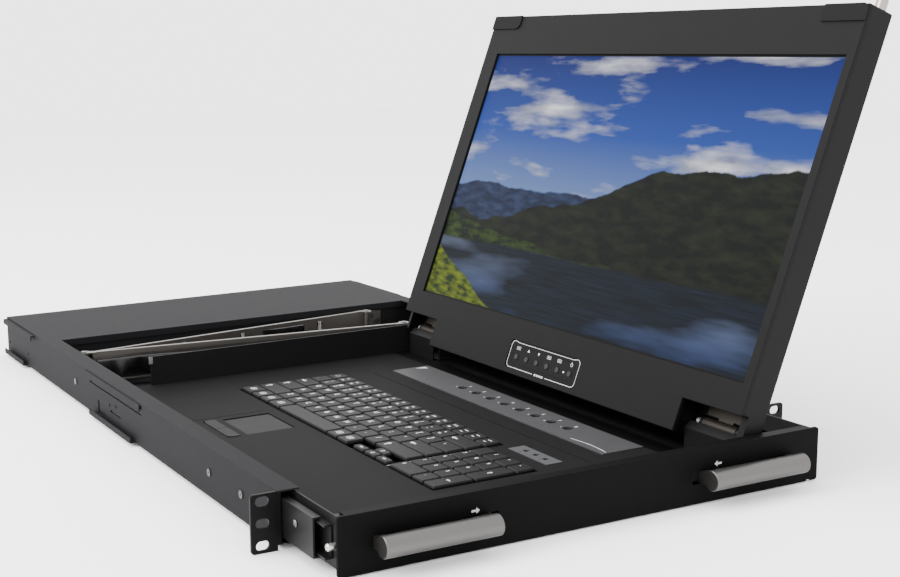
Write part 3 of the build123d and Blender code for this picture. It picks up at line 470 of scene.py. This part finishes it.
KEY_ROWS = ([1.25, 1, 1, 1.25], [2.25] + [1] * 10 + [2.75], [1.75] + [1] * 11 + [2.25],
            [1.5] + [1] * 12 + [1.5], [1] * 13 + [2])
letter_cells = []
for row, widths in enumerate(KEY_ROWS):
    letter_cells += key_cells(row, 0, widths)
letter_cells += key_cells(0, 9.5, [1]) + key_cells(0, 10.5, [1])
for start, level in ((12, 0), (13, 0), (14, 0), (13, 0.5)):
    x, rear = KEYS_LOW_X + level * KEY_PITCH, KEYS_REAR - start * KEY_PITCH
    letter_cells.append((x, x + KEY_PITCH / 2, rear - KEY_PITCH, rear))
add_caps("letter_keycaps", letter_cells, "letter_keys")
add_caps("space_keycap", key_cells(0, 4.5, [5]), "space_bar")
top_x = KEYS_LOW_X + 5 * KEY_PITCH
add_caps("function_keycaps", [(top_x, top_x + 18.0, KEYS_REAR - (key + 1) * FUNCTION_STEP,
                               KEYS_REAR - key * FUNCTION_STEP) for key in range(16)], "function_keys")
pad_cells = []
for row in range(5):
    for column in range(4):
        if (row, column) in ((0, 1), (1, 3), (3, 3)):
            continue
        x, rear = KEYS_LOW_X + row * KEY_PITCH, PAD_REAR - column * PAD_PITCH
        high = 2 if (row, column) in ((0, 3), (2, 3)) else 1
        wide = 2 if (row, column) == (0, 0) else 1
        pad_cells.append((x, x + high * KEY_PITCH, rear - wide * PAD_PITCH, rear))
add_caps("number_pad_keycaps", pad_cells, "number_pad_keys")


def key_place(row, units_from_start, width=1.0, shift=(0, 0)):
    """Centre of a key's top face; shift is in the reader's own right and up."""
    x = KEYS_LOW_X + (row + 0.5) * KEY_PITCH
    y = KEYS_REAR - (units_from_start + width / 2) * KEY_PITCH
    return on_deck(x + shift[1], y - shift[0], KEY_TOP)


letters = bmesh.new()
LETTER_ROWS = ((4, 1, "1234567890-="), (3, 1.5, "QWERTYUIOP[]"), (2, 1.75, "ASDFGHJKL;'"),
               (1, 2.25, "ZXCVBNM,./"))
UPPER_MARKS = "!@#$%^&*()_+"
for row, start, marks in LETTER_ROWS:
    for i, mark in enumerate(marks):
        if row == 4:
            add_letter(letters, key_place(row, start + i, shift=(-2.6, -3.2)), mark, 4.2)
            add_letter(letters, key_place(row, start + i, shift=(-2.6, 3.0)), UPPER_MARKS[i], 3.8)
        else:
            add_letter(letters, key_place(row, start + i, shift=(-2.2, 1.8)), mark, 5.2)
WIDE_KEYS = ((3, 0, 1.5, 0), (2, 0, 1.75, 90), (1, 0, 2.25, 90), (4, 13, 2, 180), (2, 12.75, 2.25, 180),
             (1, 12.25, 2.75, 90))
for row, start, width, angle in WIDE_KEYS:
    place = key_place(row, start, width, shift=(-width * KEY_PITCH / 2 + 7.5, 0))
    add_prism(letters, place, turned(ARROW, angle, 1.7), 0.05)
for start, width in ((0, 1.25), (1.25, 1), (2.25, 1), (3.25, 1.25), (9.5, 1), (10.5, 1)):
    place = key_place(0, start, width)
    add_band(letters, place, rounded(7.0, 5.4, 1.0), rounded(5.4, 3.8, 0.6), 0.05)
    add_prism(letters, place, bar(-1.9, 1.9, -0.6, 0.6), 0.05)
for start, level, angle in ((12, 0.25, 180), (13, 0.25, 270), (14, 0.25, 0), (13, 0.75, 90)):
    x = KEYS_LOW_X + level * KEY_PITCH
    place = on_deck(x, KEYS_REAR - (start + 0.5) * KEY_PITCH, KEY_TOP)
    add_prism(letters, place, turned(ARROW, angle), 0.05)
add_letter(letters, key_place(4, 0, shift=(-3.6, -3.4)), "`", 3.1)
add_letter(letters, key_place(3, 13.5, 1.5, shift=(-6, 2.6)), "\\", 3.1)
finish_mesh("letter_key_legends", letters, INK, "letter_keys")

functions = bmesh.new()
for key in range(16):
    y = KEYS_REAR - (key + 0.5) * FUNCTION_STEP
    x = KEYS_LOW_X + 5 * KEY_PITCH + 9
    if key == 0:
        add_band(functions, on_deck(x, y, KEY_TOP), rounded(5, 4, 0.8), rounded(4.2, 3.2, 0.5), 0.05)
    elif key <= 12:
        add_letter(functions, on_deck(x + 2.8, y + 2.0, KEY_TOP), "F", 2.7)
        for n, digit in enumerate(str(key)):
            add_letter(functions, on_deck(x + 2.8, y + 0.1 - 1.8 * n, KEY_TOP), digit, 2.7)
        add_prism(functions, on_deck(x - 3.4, y + 1, KEY_TOP), bar(-1.6, 1.6, -1.1, 1.1), 0.05)
    else:
        add_prism(functions, on_deck(x + 2.4, y, KEY_TOP), bar(-2.6, 2.6, -0.5, 0.5), 0.05)
        add_prism(functions, on_deck(x - 2.6, y, KEY_TOP), bar(-2.6, 1.2, -0.5, 0.5), 0.05)
finish_mesh("function_key_legends", functions, INK, "function_keys")

pad = bmesh.new()
PAD_MARKS = (("0", None, ".", None), ("1", "2", "3", None), ("4", "5", "6", None), ("7", "8", "9", None),
             (None, "/", "*", "-"))
for row, marks in enumerate(PAD_MARKS):
    for column, mark in enumerate(marks):
        if mark:
            x = KEYS_LOW_X + (row + 0.5) * KEY_PITCH
            y = PAD_REAR - (column + 0.5) * PAD_PITCH
            add_letter(pad, on_deck(x + 2.6, y + 3.0, KEY_TOP), mark, 3.4)
for row, angle in ((0, 180), (2, 90)):
    place = on_deck(KEYS_LOW_X + (row + 1) * KEY_PITCH, PAD_REAR - 3.5 * PAD_PITCH, KEY_TOP)
    add_prism(pad, place, turned(ARROW, angle, 1.1), 0.05)
finish_mesh("number_pad_legends", pad, INK, "number_pad_keys")

# ------------------------------------------------------- screen and picture
VIEW = (-49.5, 416.5, 38.2, 300.2)


def picture_material():
    """A lit picture of a made-up valley: evening sky, ridges, meadow and a lake, drawn from the UV map."""
    material, made, link = new_material("display_picture")
    shader = made["Principled BSDF"]
    uv = made.new("ShaderNodeUVMap")
    uv.uv_map = "picture"
    split = made.new("ShaderNodeSeparateXYZ")
    link.new(uv.outputs["UV"], split.inputs["Vector"])

    def math(operation, a, b=None, clamp=False):
        node = made.new("ShaderNodeMath")
        node.operation = operation
        node.use_clamp = clamp
        for socket, value in zip(node.inputs, (a, b)):
            if value is None:
                continue
            if isinstance(value, (int, float)):
                socket.default_value = value
            else:
                link.new(value, socket)
        return node.outputs[0]

    def noise(scale, stretch, detail=5.0, shift=0.0):
        mapping = made.new("ShaderNodeMapping")
        mapping.inputs["Scale"].default_value = stretch
        mapping.inputs["Location"].default_value = (shift, shift * 0.7, shift)
        link.new(uv.outputs["UV"], mapping.inputs["Vector"])
        texture = made.new("ShaderNodeTexNoise")
        texture.inputs["Scale"].default_value = scale
        texture.inputs["Detail"].default_value = detail
        link.new(mapping.outputs["Vector"], texture.inputs["Vector"])
        return texture.outputs["Fac"]

    def ramp(fac, stops):
        node = made.new("ShaderNodeValToRGB")
        node.color_ramp.elements[0].position = stops[0][0]
        node.color_ramp.elements[0].color = stops[0][1] + (1,)
        node.color_ramp.elements[1].position = stops[-1][0]
        node.color_ramp.elements[1].color = stops[-1][1] + (1,)
        for position, color in stops[1:-1]:
            node.color_ramp.elements.new(position).color = color + (1,)
        link.new(fac, node.inputs["Fac"])
        return node.outputs["Color"]

    def mix(fac, first, second):
        return mix_colors(made, link, fac, first, second)

    u, v = split.outputs["X"], split.outputs["Y"]
    sky = ramp(v, [(0.42, (0.26, 0.40, 0.80)), (0.7, (0.035, 0.11, 0.58)), (1.0, (0.004, 0.022, 0.24))])
    puffs = noise(3.4, (1.0, 2.4, 1), 9.0, 2.6)
    cloud_shape = math("MULTIPLY", math("SUBTRACT", puffs, 0.52, clamp=True), 6.0, clamp=True)
    white = ramp(noise(9.0, (1, 2, 1), 5.0), [(0.25, (0.30, 0.34, 0.46)), (0.7, (1.5, 1.5, 1.6))])
    color = mix(cloud_shape, sky, white)
    # each ridge: height on the left, rise towards the right, roughness, noise scale, seed, colours
    ridges = ((0.46, 0.02, 0.10, 3.0, 3.0, (0.012, 0.022, 0.075), (0.05, 0.08, 0.19)),
              (0.30, 0.42, 0.16, 2.4, 7.3, (0.0015, 0.004, 0.001), (0.02, 0.03, 0.009)),
              (0.34, -0.16, 0.08, 3.6, 11.0, (0.003, 0.012, 0.002), (0.06, 0.11, 0.01)))
    for level, rise, height, scale, shift, dark, light in ridges:
        crest = math("SUBTRACT", noise(scale, (1, 0.0, 1), 9.0, shift), 0.5)
        rough_line = math("MULTIPLY", crest, height * 2.4)
        line = math("ADD", math("ADD", rough_line, level), math("MULTIPLY", u, rise))
        below = math("MULTIPLY", math("SUBTRACT", line, v), 140.0, clamp=True)
        ground = ramp(noise(9 * scale, (1, 1.5, 1), 10.0, shift), [(0.40, dark), (0.72, light)])
        color = mix(below, color, ground)
    # lake with the sky mirrored on its left, and a dark bank along its far side
    bays = math("SUBTRACT", noise(2.2, (1, 0.0, 1), 6.0, 5.0), 0.5)
    shore = math("ADD", math("MULTIPLY", bays, 0.10), 0.25)
    wet = math("MULTIPLY", math("SUBTRACT", shore, v), 90.0, clamp=True)
    ripple = ramp(noise(16.0, (0.5, 9, 1), 5.0, 1.0),
                  [(0.35, (0.002, 0.006, 0.010)), (0.75, (0.012, 0.024, 0.05))])
    mirror = ramp(noise(1.6, (1, 3.0, 1), 4.0, 4.0), [(0.52, (0.0, 0.0, 0.0)), (0.70, (1.0, 1.0, 1.0))])
    open_water = mix(mirror, ripple, ramp(v, [(0.0, (0.05, 0.10, 0.32)), (0.3, (0.30, 0.36, 0.52))]))
    color = mix(wet, color, open_water)
    # meadow in the near left corner
    meadow_line = math("ADD", math("SUBTRACT", 0.20, math("MULTIPLY", u, 0.75)),
                       math("MULTIPLY", math("SUBTRACT", noise(7.0, (1, 0.0, 1), 8.0, 9.0), 0.5), 0.10))
    near = math("MULTIPLY", math("SUBTRACT", meadow_line, v), 120.0, clamp=True)
    grass = ramp(noise(30.0, (1, 1.5, 1), 8.0), [(0.38, (0.02, 0.045, 0.002)), (0.68, (0.28, 0.36, 0.01))])
    color = mix(near, color, grass)
    shader.inputs["Base Color"].default_value = (0.001, 0.001, 0.0012, 1)
    shader.inputs["Roughness"].default_value = 0.5
    shader.inputs["Specular IOR Level"].default_value = 0.05
    link.new(color, shader.inputs["Emission Color"])
    shader.inputs["Emission Strength"].default_value = 0.75
    return material


picture = bmesh.new()
columns, rows = 24, 14
layer = picture.loops.layers.uv.new("picture")
grid = {}
for i in range(columns + 1):
    for j in range(rows + 1):
        across = VIEW[1] - 0.3 - (VIEW[1] - VIEW[0] - 0.6) * i / columns
        up = VIEW[2] + 0.3 + (VIEW[3] - VIEW[2] - 0.6) * j / rows
        grid[i, j] = picture.verts.new(on_screen(across, up, 2.1) @ Vector((0, 0, 0)))
for i in range(columns):
    for j in range(rows):
        corners = ((i, j), (i + 1, j), (i + 1, j + 1), (i, j + 1))
        face = picture.faces.new([grid[c] for c in corners])
        for loop, corner in zip(face.loops, corners):
            loop[layer].uv = (corner[0] / columns, corner[1] / rows)
finish_mesh("display_picture", picture, picture_material(), "lcd")

# dark inner step around the picture
step = bmesh.new()
centre = on_screen((VIEW[0] + VIEW[1]) / 2, (VIEW[2] + VIEW[3]) / 2, 2.15)
add_band(step, centre, rounded(465.9, 261.9, 0.6), rounded(462.6, 258.6, 0.4), 0.35)
finish_mesh("display_gasket", step, DARK_PRINT_AND_SHADE, "lcd")

# menu field on the screen's chin: a printed outline with hooked corners, icons and marks, and a sunk groove
# drawn as a dark band of painted shade
MENU_Y, MENU_UP, MENU_WIDE, MENU_HIGH, HOOK = 190.8, 5.05, 102.4, 25.2, 4.4


def hooked_line(side):
    """The left or right end of the printed outline, from its top hook round to the gap at the bottom."""
    half, low, high = MENU_WIDE / 2, -MENU_HIGH / 2, MENU_HIGH / 2
    turns = [(cos(radians(90 * i / 6)) * HOOK, sin(radians(90 * i / 6)) * HOOK) for i in range(7)]
    top = [(half - HOOK + x, high - HOOK + y) for x, y in turns[::-1]]
    bottom = [(half - HOOK + x, low + HOOK - y) for x, y in turns]
    path = [(half - 2.4 * HOOK, high - 1.1), (half - 1.5 * HOOK, high - 0.5)] + top + bottom + [(9.5, low)]
    return [(side * x, y) for x, y in path]


chin = bmesh.new()
menu = on_screen(MENU_Y, MENU_UP, 0.9)
add_stroke(chin, menu, hooked_line(-1), 0.55)
add_stroke(chin, menu, hooked_line(1), 0.55)
add_stroke(chin, menu, [(-MENU_WIDE / 2 + 2.4 * HOOK, MENU_HIGH / 2 - 1.1),
                        (MENU_WIDE / 2 - 2.4 * HOOK, MENU_HIGH / 2 - 1.1)], 0.45)
for x in (-5.4, -1.8, 1.8, 5.4):
    add_prism(chin, menu, bar(x - 1.2, x + 1.2, -MENU_HIGH / 2 - 0.9, -MENU_HIGH / 2 + 0.9), 0.06)
OSD_Y = [230.2 - 15.6 * i for i in range(5)] + [150.1]
for i, y in enumerate(OSD_Y):
    icon = on_screen(y, 11.6, 0.9)
    if i == 5:
        add_band(chin, icon, disc(1.7), disc(1.25), 0.06)
        add_prism(chin, icon, bar(-0.2, 0.2, 0.4, 2.4), 0.06)
    elif i in (1, 2):
        add_prism(chin, icon, turned([(-1.7, -1.1), (1.7, -1.1), (0, 1.6)], 180 * (i - 1)), 0.06)
    else:
        add_band(chin, icon, rounded(5.6, 3.0, 0.5), rounded(4.9, 2.3, 0.3), 0.06)
        add_prism(chin, icon, bar(-1.7, 1.7, -0.35, 0.35), 0.06)
finish_mesh("menu_field_print", chin, INK, "lcd")
trough = bmesh.new()
add_band(trough, menu, rounded(92.0, 18.0, 3.2), rounded(91.0, 17.0, 2.8), 0.05)
finish_mesh("menu_field_groove_painted_shade", trough, DARK_PRINT_AND_SHADE, "lcd")
lamp = bmesh.new()
add_prism(lamp, on_screen(158.2, 3.3, 0.9), disc(0.85), 0.25)
finish_mesh("power_lamp", lamp, LAMP, "lcd")

# -------------------------------------------------------------- port strip
PORT_Y = [273.2 - 23.4 * i for i in range(8)]
strip = bmesh.new()
lens = bmesh.new()
collar = bmesh.new()
for i, y in enumerate(PORT_Y):
    add_letter(strip, on_deck(115.2, y, STRIP_TOP), str(i + 1), 3.4)
    add_prism(lens, on_deck(104.2, y + 7.0, STRIP_TOP - 0.3), disc(0.75, 16), 0.34)
    add_band(collar, on_deck(106.2, y, STRIP_TOP), disc(4.3, 32), disc(3.5, 32), 0.12)
add_prism(strip, on_deck(114, 362, STRIP_TOP), [(-3, -5), (3.4, 6), (-3, 6)], 0.05)
points = [(s * 1.0, 2.2 * sin(s / 46.0 * pi)) for s in range(0, 47, 2)]
outline = [(x, y + 0.35) for x, y in points] + [(x, y - 0.35) for x, y in points[::-1]]
add_prism(strip, on_deck(90.0, 84, STRIP_TOP), outline, 0.05)
finish_mesh("port_strip_print", strip, INK, "tray")
finish_mesh("port_lenses", lens, PORT_LAMP, "tray")
finish_mesh("port_button_collars", collar, DARK_PRINT_AND_SHADE, "tray")

# three small lock-light icons on the indicator plate
marks = bmesh.new()
for i in range(3):
    place = on_deck(37.6, 74 - i * 13, DECK_TOP + 0.5)
    add_band(marks, place, disc(1.5, 20, 0, 2.2), disc(1.0, 20, 0, 2.2), 0.05)
    add_prism(marks, place, rounded(4.4, 3.4, 0.6), 0.05)
    add_prism(marks, on_deck(31.8, 74 - i * 13, DECK_TOP + 0.5), disc(0.7, 16), 0.06)
finish_mesh("indicator_icons", marks, DARK_PRINT_AND_SHADE, "tray")

# faint line between the key blocks, and dark strips of painted shade in the deck's two grooves
rib = bmesh.new()
add_prism(rib, on_deck(-32.5, 96.5, DECK_TOP), rounded(1.6, 94, 0.7), 0.35)
finish_mesh("key_block_rib", rib, FAINT_INK, "tray")
groove = bmesh.new()
add_prism(groove, on_deck(63.9, 197, DECK_TOP - 0.39), bar(-175, 175, -0.42, 0.42), 0.05)
add_prism(groove, on_deck(-127.5, 298, DECK_TOP - 0.39), bar(-0.32, 0.32, -35, 35), 0.05)
finish_mesh("deck_groove_painted_shade", groove, DARK_PRINT_AND_SHADE, "tray")

# ------------------------------------------------------------- front panel
arrows = bmesh.new()
for x, angle in ((-104.5, 0), (109.5, 180)):
    add_prism(arrows, on_panel(x, 7.9), turned(ARROW, angle, 1.5), 0.06)
finish_mesh("release_arrows", arrows, INK, "tray")

# small pressed dimple on the rim's top, near the left end, in light grey as a painted highlight on the black
# rim
dimple = bmesh.new()
add_dome(dimple, plane((-202.0, -62.0, 21.15), (1, 0, 0), (0, 1, 0)), 2.0, 0.1, 0.3)
finish_mesh("rim_dimple_highlight", dimple, STRIP, "tray")

# bright domed screws near the front ends of the middle slides
SLIDE_SCREW_X = 217.9
domes = bmesh.new()
for side in (-1, 1):
    add_dome(domes, plane((side * SLIDE_SCREW_X, -20.6, 4.0), (0, side, 0), (0, 0, 1)), 2.6, 0.08, 0.04)
finish_mesh("slide_front_screws", domes, BRIGHT, "slide_middle")


# ------------------------------------------------------------ screw drives, drawn as dark crosses of painted shade
# Each cross is painted shade: a flat dark mark for the hollow of a cross recess.
def cross_recess(build, place, size):
    """A dark cross on a screw head."""
    add_prism(build, place, bar(-size, size, -size * 0.22, size * 0.22), 0.03)
    add_prism(build, place, bar(-size * 0.22, size * 0.22, -size, size), 0.03)


drives = bmesh.new()
for side in (-1, 1):
    for y, z in ((60.7, 1.4), (120.5, 1.4), (455.0, 1.4)):
        cross_recess(drives, plane((side * 221.9, y, z), (0, side, 0), (0, 0, 1)), 1.3)
finish_mesh("slide_screw_cross_shades", drives, DARK_PRINT_AND_SHADE, "case")
drives = bmesh.new()
for x, z in ((163, 9), (171, 2), (163, -5)):
    cross_recess(drives, on_rear(x, z, 444.7), 1.5)
for low, high in ((-46.0, 1.0), (382.0, 429.0)):
    for y in (low + 9, high - 9):
        cross_recess(drives, on_deck(163.5, y, -5.8), 1.4)
finish_mesh("tray_screw_cross_shades", drives, DARK_PRINT_AND_SHADE, "tray")

# ---------------------------------------------------- cables on the folding arm
ARM_X, ARM_FRONT_Y, ARM_REAR_Y, ARM_LENGTH = 149.0, 455.5, 540.0, 350.0
FOLD = atan2((ARM_REAR_Y - ARM_FRONT_Y) / 2, sqrt(ARM_LENGTH ** 2 - ((ARM_REAR_Y - ARM_FRONT_Y) / 2) ** 2))


def arm_point(link, along, across, z):
    """A point on a link; across counts towards the front."""
    sign = 1 if link == "front" else -1
    base_y = ARM_FRONT_Y if link == "front" else ARM_REAR_Y
    x = ARM_X - along * cos(FOLD) - across * sin(FOLD) * sign
    y = base_y + sign * along * sin(FOLD) - across * cos(FOLD)
    return (x, y, z)


CABLE_THICK, CABLE_TALL, CABLE_MID, CABLE_ACROSS = 4.6, 21.0, 1.5, 5.6
CABLE_START, CABLE_END, CABLE_STEPS = 12.0, 338.0, 150


def add_flat_bundle(build, link, side):
    """Flat cables wrapped in film: one tall rounded strip that follows a link with small wrinkles."""
    rings = []
    for i in range(CABLE_STEPS + 1):
        along = CABLE_START + (CABLE_END - CABLE_START) * i / CABLE_STEPS
        ring = []
        for k, (x, z) in enumerate(rounded(CABLE_THICK, CABLE_TALL, CABLE_THICK / 2.2, 3)):
            ripple = 0.35 * sin(along * 0.21 + z * 0.8) + 0.25 * sin(along * 0.47 - z * 0.5)
            lift = 0.5 * sin(along * 0.05)
            across = side * (CABLE_ACROSS + x + ripple * (0.4 + 0.6 * (k % 3) / 3))
            ring.append(build.verts.new(Vector(arm_point(link, along, across, CABLE_MID + z + lift)) * MM))
        rings.append(ring)
    count = len(rings[0])
    for first, second in zip(rings, rings[1:]):
        for k in range(count):
            j = (k + 1) % count
            build.faces.new((first[k], first[j], second[j], second[k]))
    build.faces.new(rings[0][::-1])
    build.faces.new(rings[-1])


for link, side in (("front", 1), ("rear", -1)):
    film = bmesh.new()
    add_flat_bundle(film, link, side)
    piece = finish_mesh(f"{link}_link_cables", film, FILM, f"arm_{link}")
    for polygon in piece.data.polygons:
        polygon.use_smooth = True



def add_link_box(build, link, along, across, z):
    """A straight strip on a link, from and to values along it, across it and in height."""
    outline = bar(along[0], along[1], across[0], across[1])
    low, high = ([build.verts.new(Vector(arm_point(link, a, c, level)) * MM) for a, c in outline]
                 for level in z)
    build.faces.new(low[::-1])
    build.faces.new(high)
    for i in range(4):
        j = (i + 1) % 4
        build.faces.new((low[i], low[j], high[j], high[i]))


# turned-down lips along the links' upper edges
for link, side, top in (("front", 1, 19.3), ("rear", -1, 17.7)):
    lip = bmesh.new()
    add_link_box(lip, link, (8.0, 342.0), (side * 4.2, side * 4.9), (top - 5.0, top))
    finish_mesh(f"{link}_link_lip", lip, ARM_STEEL, f"arm_{link}")

ties = bmesh.new()
for along in (60, 160, 232, 290):
    for offset in (2.4, 4.6):
        place = plane(arm_point("rear", along + offset, -0.45, 3.0), (cos(FOLD), sin(FOLD), 0), (0, 0, 1))
        add_prism(ties, place, bar(-0.5, 0.5, -8.5, 11.0), 0.5, -0.1)
finish_mesh("rear_link_ties", ties, TIE, "arm_rear")

# small bright clip on the tray's rear wall, where the cables leave by the notch
clip = bmesh.new()
add_prism(clip, on_panel(-148.5, 15.9, 440.9), rounded(4.0, 7.0, 0.8), 0.8)
add_prism(clip, on_panel(-148.5, 15.9, 440.1), disc(1.1), 0.4)
finish_mesh("cable_notch_clip", clip, BRIGHT, "tray")

# -------------------------------------------------------------- rear panel
labels = bmesh.new()
for i in range(8):
    add_letter(labels, on_rear(104.0 - 34.0 * i, -11.4), str(i + 1), 3.4)
add_prism(labels, on_rear(145, 15.4), bar(-0.25, 0.25, -1.6, 1.6), 0.05)
add_band(labels, on_rear(151, 15.4), disc(1.6), disc(1.2), 0.05)
finish_mesh("rear_panel_print", labels, INK, "case")
hood = bmesh.new()
for x in [104.0 - 34.0 * i for i in range(8)] + [-172.0]:
    shape = [(-8.6, 4.3), (8.6, 4.3), (7.6, -4.3), (-7.6, -4.3)]
    rim = [(-9.4, 5.0), (9.4, 5.0), (8.4, -5.0), (-8.4, -5.0)]
    add_band(hood, on_rear(x, 1.5), rim, shape, 0.5)
finish_mesh("connector_shells", hood, STEEL, "case")

# ----------------------------------------------------- stage, light, camera
# the floor lies 0.3 mm under the part, so that no face of the two coincides
FLOOR_Z = -0.0215
floor_build = bmesh.new()
for x, y in ((-4, -3), (4, -3), (4, 5), (-4, 5)):
    floor_build.verts.new((x, y, FLOOR_Z))
floor_build.faces.new(floor_build.verts)
floor_mesh = bpy.data.meshes.new("floor")
floor_build.to_mesh(floor_mesh)
floor_build.free()
floor = bpy.data.objects.new("floor", floor_mesh)
bpy.context.scene.collection.objects.link(floor)
floor_mesh.materials.append(surface("pale_floor", (0.93, 0.93, 0.93), 0.8, grain=40, bump=0.02, vary=0.01))

world = bpy.data.worlds.new("studio")
world.use_nodes = True
world.node_tree.nodes["Background"].inputs["Color"].default_value = (1, 1, 1, 1)
world.node_tree.nodes["Background"].inputs["Strength"].default_value = 3.3
bpy.context.scene.world = world


def area_light(name, place, target, size, power):
    data = bpy.data.lights.new(name, "AREA")
    data.shape = "RECTANGLE"
    data.size, data.size_y = size
    data.energy = power
    light = bpy.data.objects.new(name, data)
    light.location = place
    light.rotation_euler = (Vector(target) - Vector(place)).to_track_quat("-Z", "Y").to_euler()
    bpy.context.scene.collection.objects.link(light)


area_light("key_light", (-3.2, 0.6, 2.4), (0, 0.3, 0), (2.2, 1.6), 230)
area_light("top_light", (-0.4, 0.9, 2.4), (0, 0.3, 0), (1.6, 1.2), 40)

camera_data = bpy.data.cameras.new("camera")
camera_data.sensor_width = 36.0
camera_data.lens = 56.25
camera_data.shift_x = 0.1791
camera_data.shift_y = -0.0140
camera_data.clip_start, camera_data.clip_end = 0.02, 20.0
camera = bpy.data.objects.new("camera", camera_data)
azimuth, elevation, roll = radians(-25.78), radians(9.67), radians(-1.28)
back = Vector((sin(azimuth) * cos(elevation), -cos(azimuth) * cos(elevation), sin(elevation)))
right = (-back).cross(Vector((0, 0, 1))).normalized()
up = right.cross(-back)
camera_x = right * cos(roll) + up * sin(roll)
camera_y = -right * sin(roll) + up * cos(roll)
turn = Matrix((camera_x, camera_y, back)).transposed().to_4x4()
camera.matrix_world = Matrix.Translation((-0.61207, -0.83597, 0.3276)) @ turn
bpy.context.scene.collection.objects.link(camera)
bpy.context.scene.camera = camera
